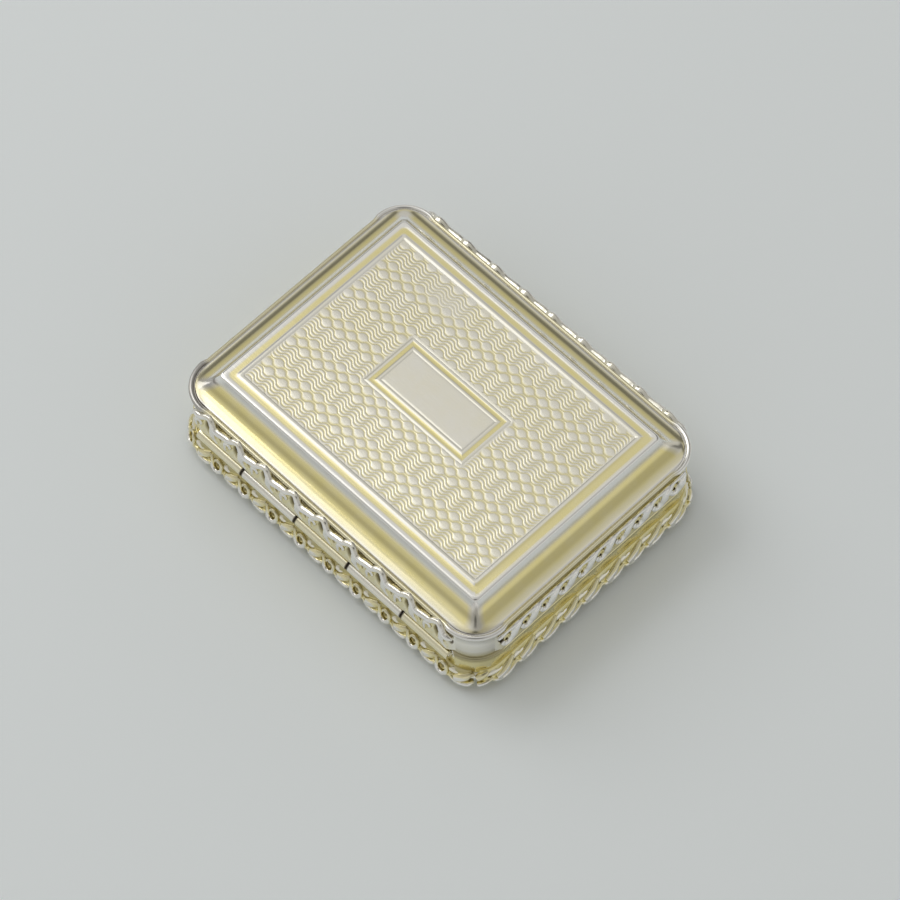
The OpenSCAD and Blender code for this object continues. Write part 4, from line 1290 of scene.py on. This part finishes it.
def quarter_cuts():
    """The openings of one quarter of the grille, placed by their share of the pierced part."""
    cuts = [(curl_cut(3.5, 0.8, 235, 525), 0, CURL_MIDDLE), (curl_cut(1.9, 0.7, 60, 340), 0, CURL_MIDDLE),
            (round_cut(EYE_R), 0, CURL_MIDDLE), (leaf_cut(*LONG_LEAF), 30, (0.87, 0.77)),
            (leaf_cut(*LONG_LEAF), 75, (0.88, 0.38)), (leaf_cut(*LONG_LEAF), -40, (0.2, 0.7)),
            (leaf_cut(*SMALL_LEAF), 38, (0.26, 0.27)), (leaf_cut(*SMALL_LEAF), -20, (0.78, 0.11))]
    return [turned_by(shape, degrees, (a * PIERCE_X, b * PIERCE_Y)) for shape, degrees, (a, b) in cuts]


def grille_cuts():
    """All the openings: the rosette and four mirrored quarters."""
    petal = turned_by(leaf_cut(*PETAL), 0, (PETAL_OUT, 0))
    cuts = [round_cut(EYE_R)]
    cuts += [turned_by(petal, (n + 0.5) * 360 / PETALS, (0, 0)) for n in range(PETALS)]
    for quarter in quarter_cuts():
        cuts += [quarter, -np.conj(quarter), np.conj(quarter), -quarter]
    return cuts


def grille_rim():
    """The plate's outline: rounded at the front and straight along its hinge."""
    r = CORNER_R - BEZEL_IN
    back_y = span("grille_knuckle_2", 1)[0]
    sizes = (np.full(RING_STEPS, size) for size in (GRILLE_X, GRILLE_Y, r))
    x, y = ring_xy(np.arange(RING_STEPS), *sizes)
    end_x = GRILLE_X - r + math.sqrt(r * r - (back_y - GRILLE_Y + r) ** 2)
    rim = (x + 1j * y)[y < back_y]
    start = int(np.argmin(np.where(rim.real < 0, -rim.imag, 99)))
    return np.concatenate([np.roll(rim, -start), [end_x + 1j * back_y, -end_x + 1j * back_y]])


def pierced_plate(name, outlines, low, thick, soft_w):
    """A flat plate from closed outlines, the first being its rim."""
    drawn = bpy.data.curves.new(name, "CURVE")
    drawn.dimensions = "2D"
    drawn.fill_mode = "BOTH"
    drawn.extrude = (thick / 2 - soft_w) * MM
    drawn.bevel_depth = soft_w * MM
    drawn.bevel_resolution = 2
    drawn.offset = -soft_w * MM
    for outline in outlines:
        line = drawn.splines.new("POLY")
        line.points.add(len(outline) - 1)
        for point, place in zip(line.points, outline):
            point.co = (place.real * MM, place.imag * MM, 0, 1)
        line.use_cyclic_u = True
    ob = mesh_of(name, drawn)
    ob.location.z = (low + thick / 2) * MM
    bpy.ops.object.transform_apply()
    return ob


grille_low, grille_top = span("grille_plate", 2)
grille = pierced_plate("pierced_grille", [grille_rim()] + grille_cuts(), grille_low, GRILLE_T, FILED)
weld(grille, fill=False)
paint(grille, "gilt", LINED)
dress(grille, "grille", INNER_METAL, "gilt", "grille_plate", angle=35)

# %% [markdown]
# ## The grille's lift tab
# A small round tab stands on the grille's front edge, for a fingernail. It is a thin disc on edge,
# cut off by bisect just under the plate's face, so that it sits in the metal.

# %% Lift tab
TAB_R, TAB_T, TAB_SEAT = 1.0, 0.3, 0.1
tab_y = span("grille_plate", 1)[0]
tab_place = (0, (tab_y + TAB_T / 2) * MM, (grille_top - TAB_R) * MM)
tab = add("grille_lift_tab", bpy.ops.mesh.primitive_cylinder_add, vertices=48, radius=TAB_R * MM,
          depth=TAB_T * MM, rotation=(math.pi / 2, 0, 0), location=tab_place)
bpy.ops.object.transform_apply()
trim(tab, (0, 0, (grille_low + GRILLE_T - TAB_SEAT) * MM), (0, 0, -1))
weld(tab)
soften(tab, RIM_SOFT, 3)
paint(tab, "gilt", 0.85)
dress(tab, "grille", INNER_METAL, "gilt", "grille_plate", angle=35)

# %% [markdown]
# ## The sponge
# A scrap of sponge filled the base. It starts as a block with soft corners, tucked in below, is
# remeshed to an even skin, and two displacements give it lumps and pores.
# It stays inside its solid's space.

# %% Sponge
SPONGE_ROOM, SPONGE_SOFT, SPONGE_CELL = 0.6, 0.9, 0.22
SPONGE_TUCK = (0.87, 0.83)
SPONGE_GRAIN, SPONGE_PUSH = (("lumps", "CLOUDS", 3.5), ("pores", "VORONOI", 1.1)), 0.5
low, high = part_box("sponge")
sponge_size = [high[k] - low[k] - SPONGE_ROOM * MM for k in range(3)]
sponge = add("scent_sponge", bpy.ops.mesh.primitive_cube_add, size=1, location=(low + high) / 2,
             scale=sponge_size)
bpy.ops.object.transform_apply()
points = points_of(sponge)
points[:, :2] *= np.where(points[:, 2:] < (low[2] + high[2]) / 2, SPONGE_TUCK, (1.0, 1.0))
sponge.data.vertices.foreach_set("co", points.ravel())
soften(sponge, SPONGE_SOFT, 5)
modify(sponge, "REMESH", mode="VOXEL", voxel_size=SPONGE_CELL * MM)
for title, kind, size in SPONGE_GRAIN:
    grain = bpy.data.textures.new(title, kind)
    grain.noise_scale = size * MM
    modify(sponge, "DISPLACE", texture=grain, texture_coords="LOCAL", strength=SPONGE_PUSH * MM,
           mid_level=0.8)
dress(sponge, "base", SPONGE_FINISH, "sponge", "sponge", angle=180)
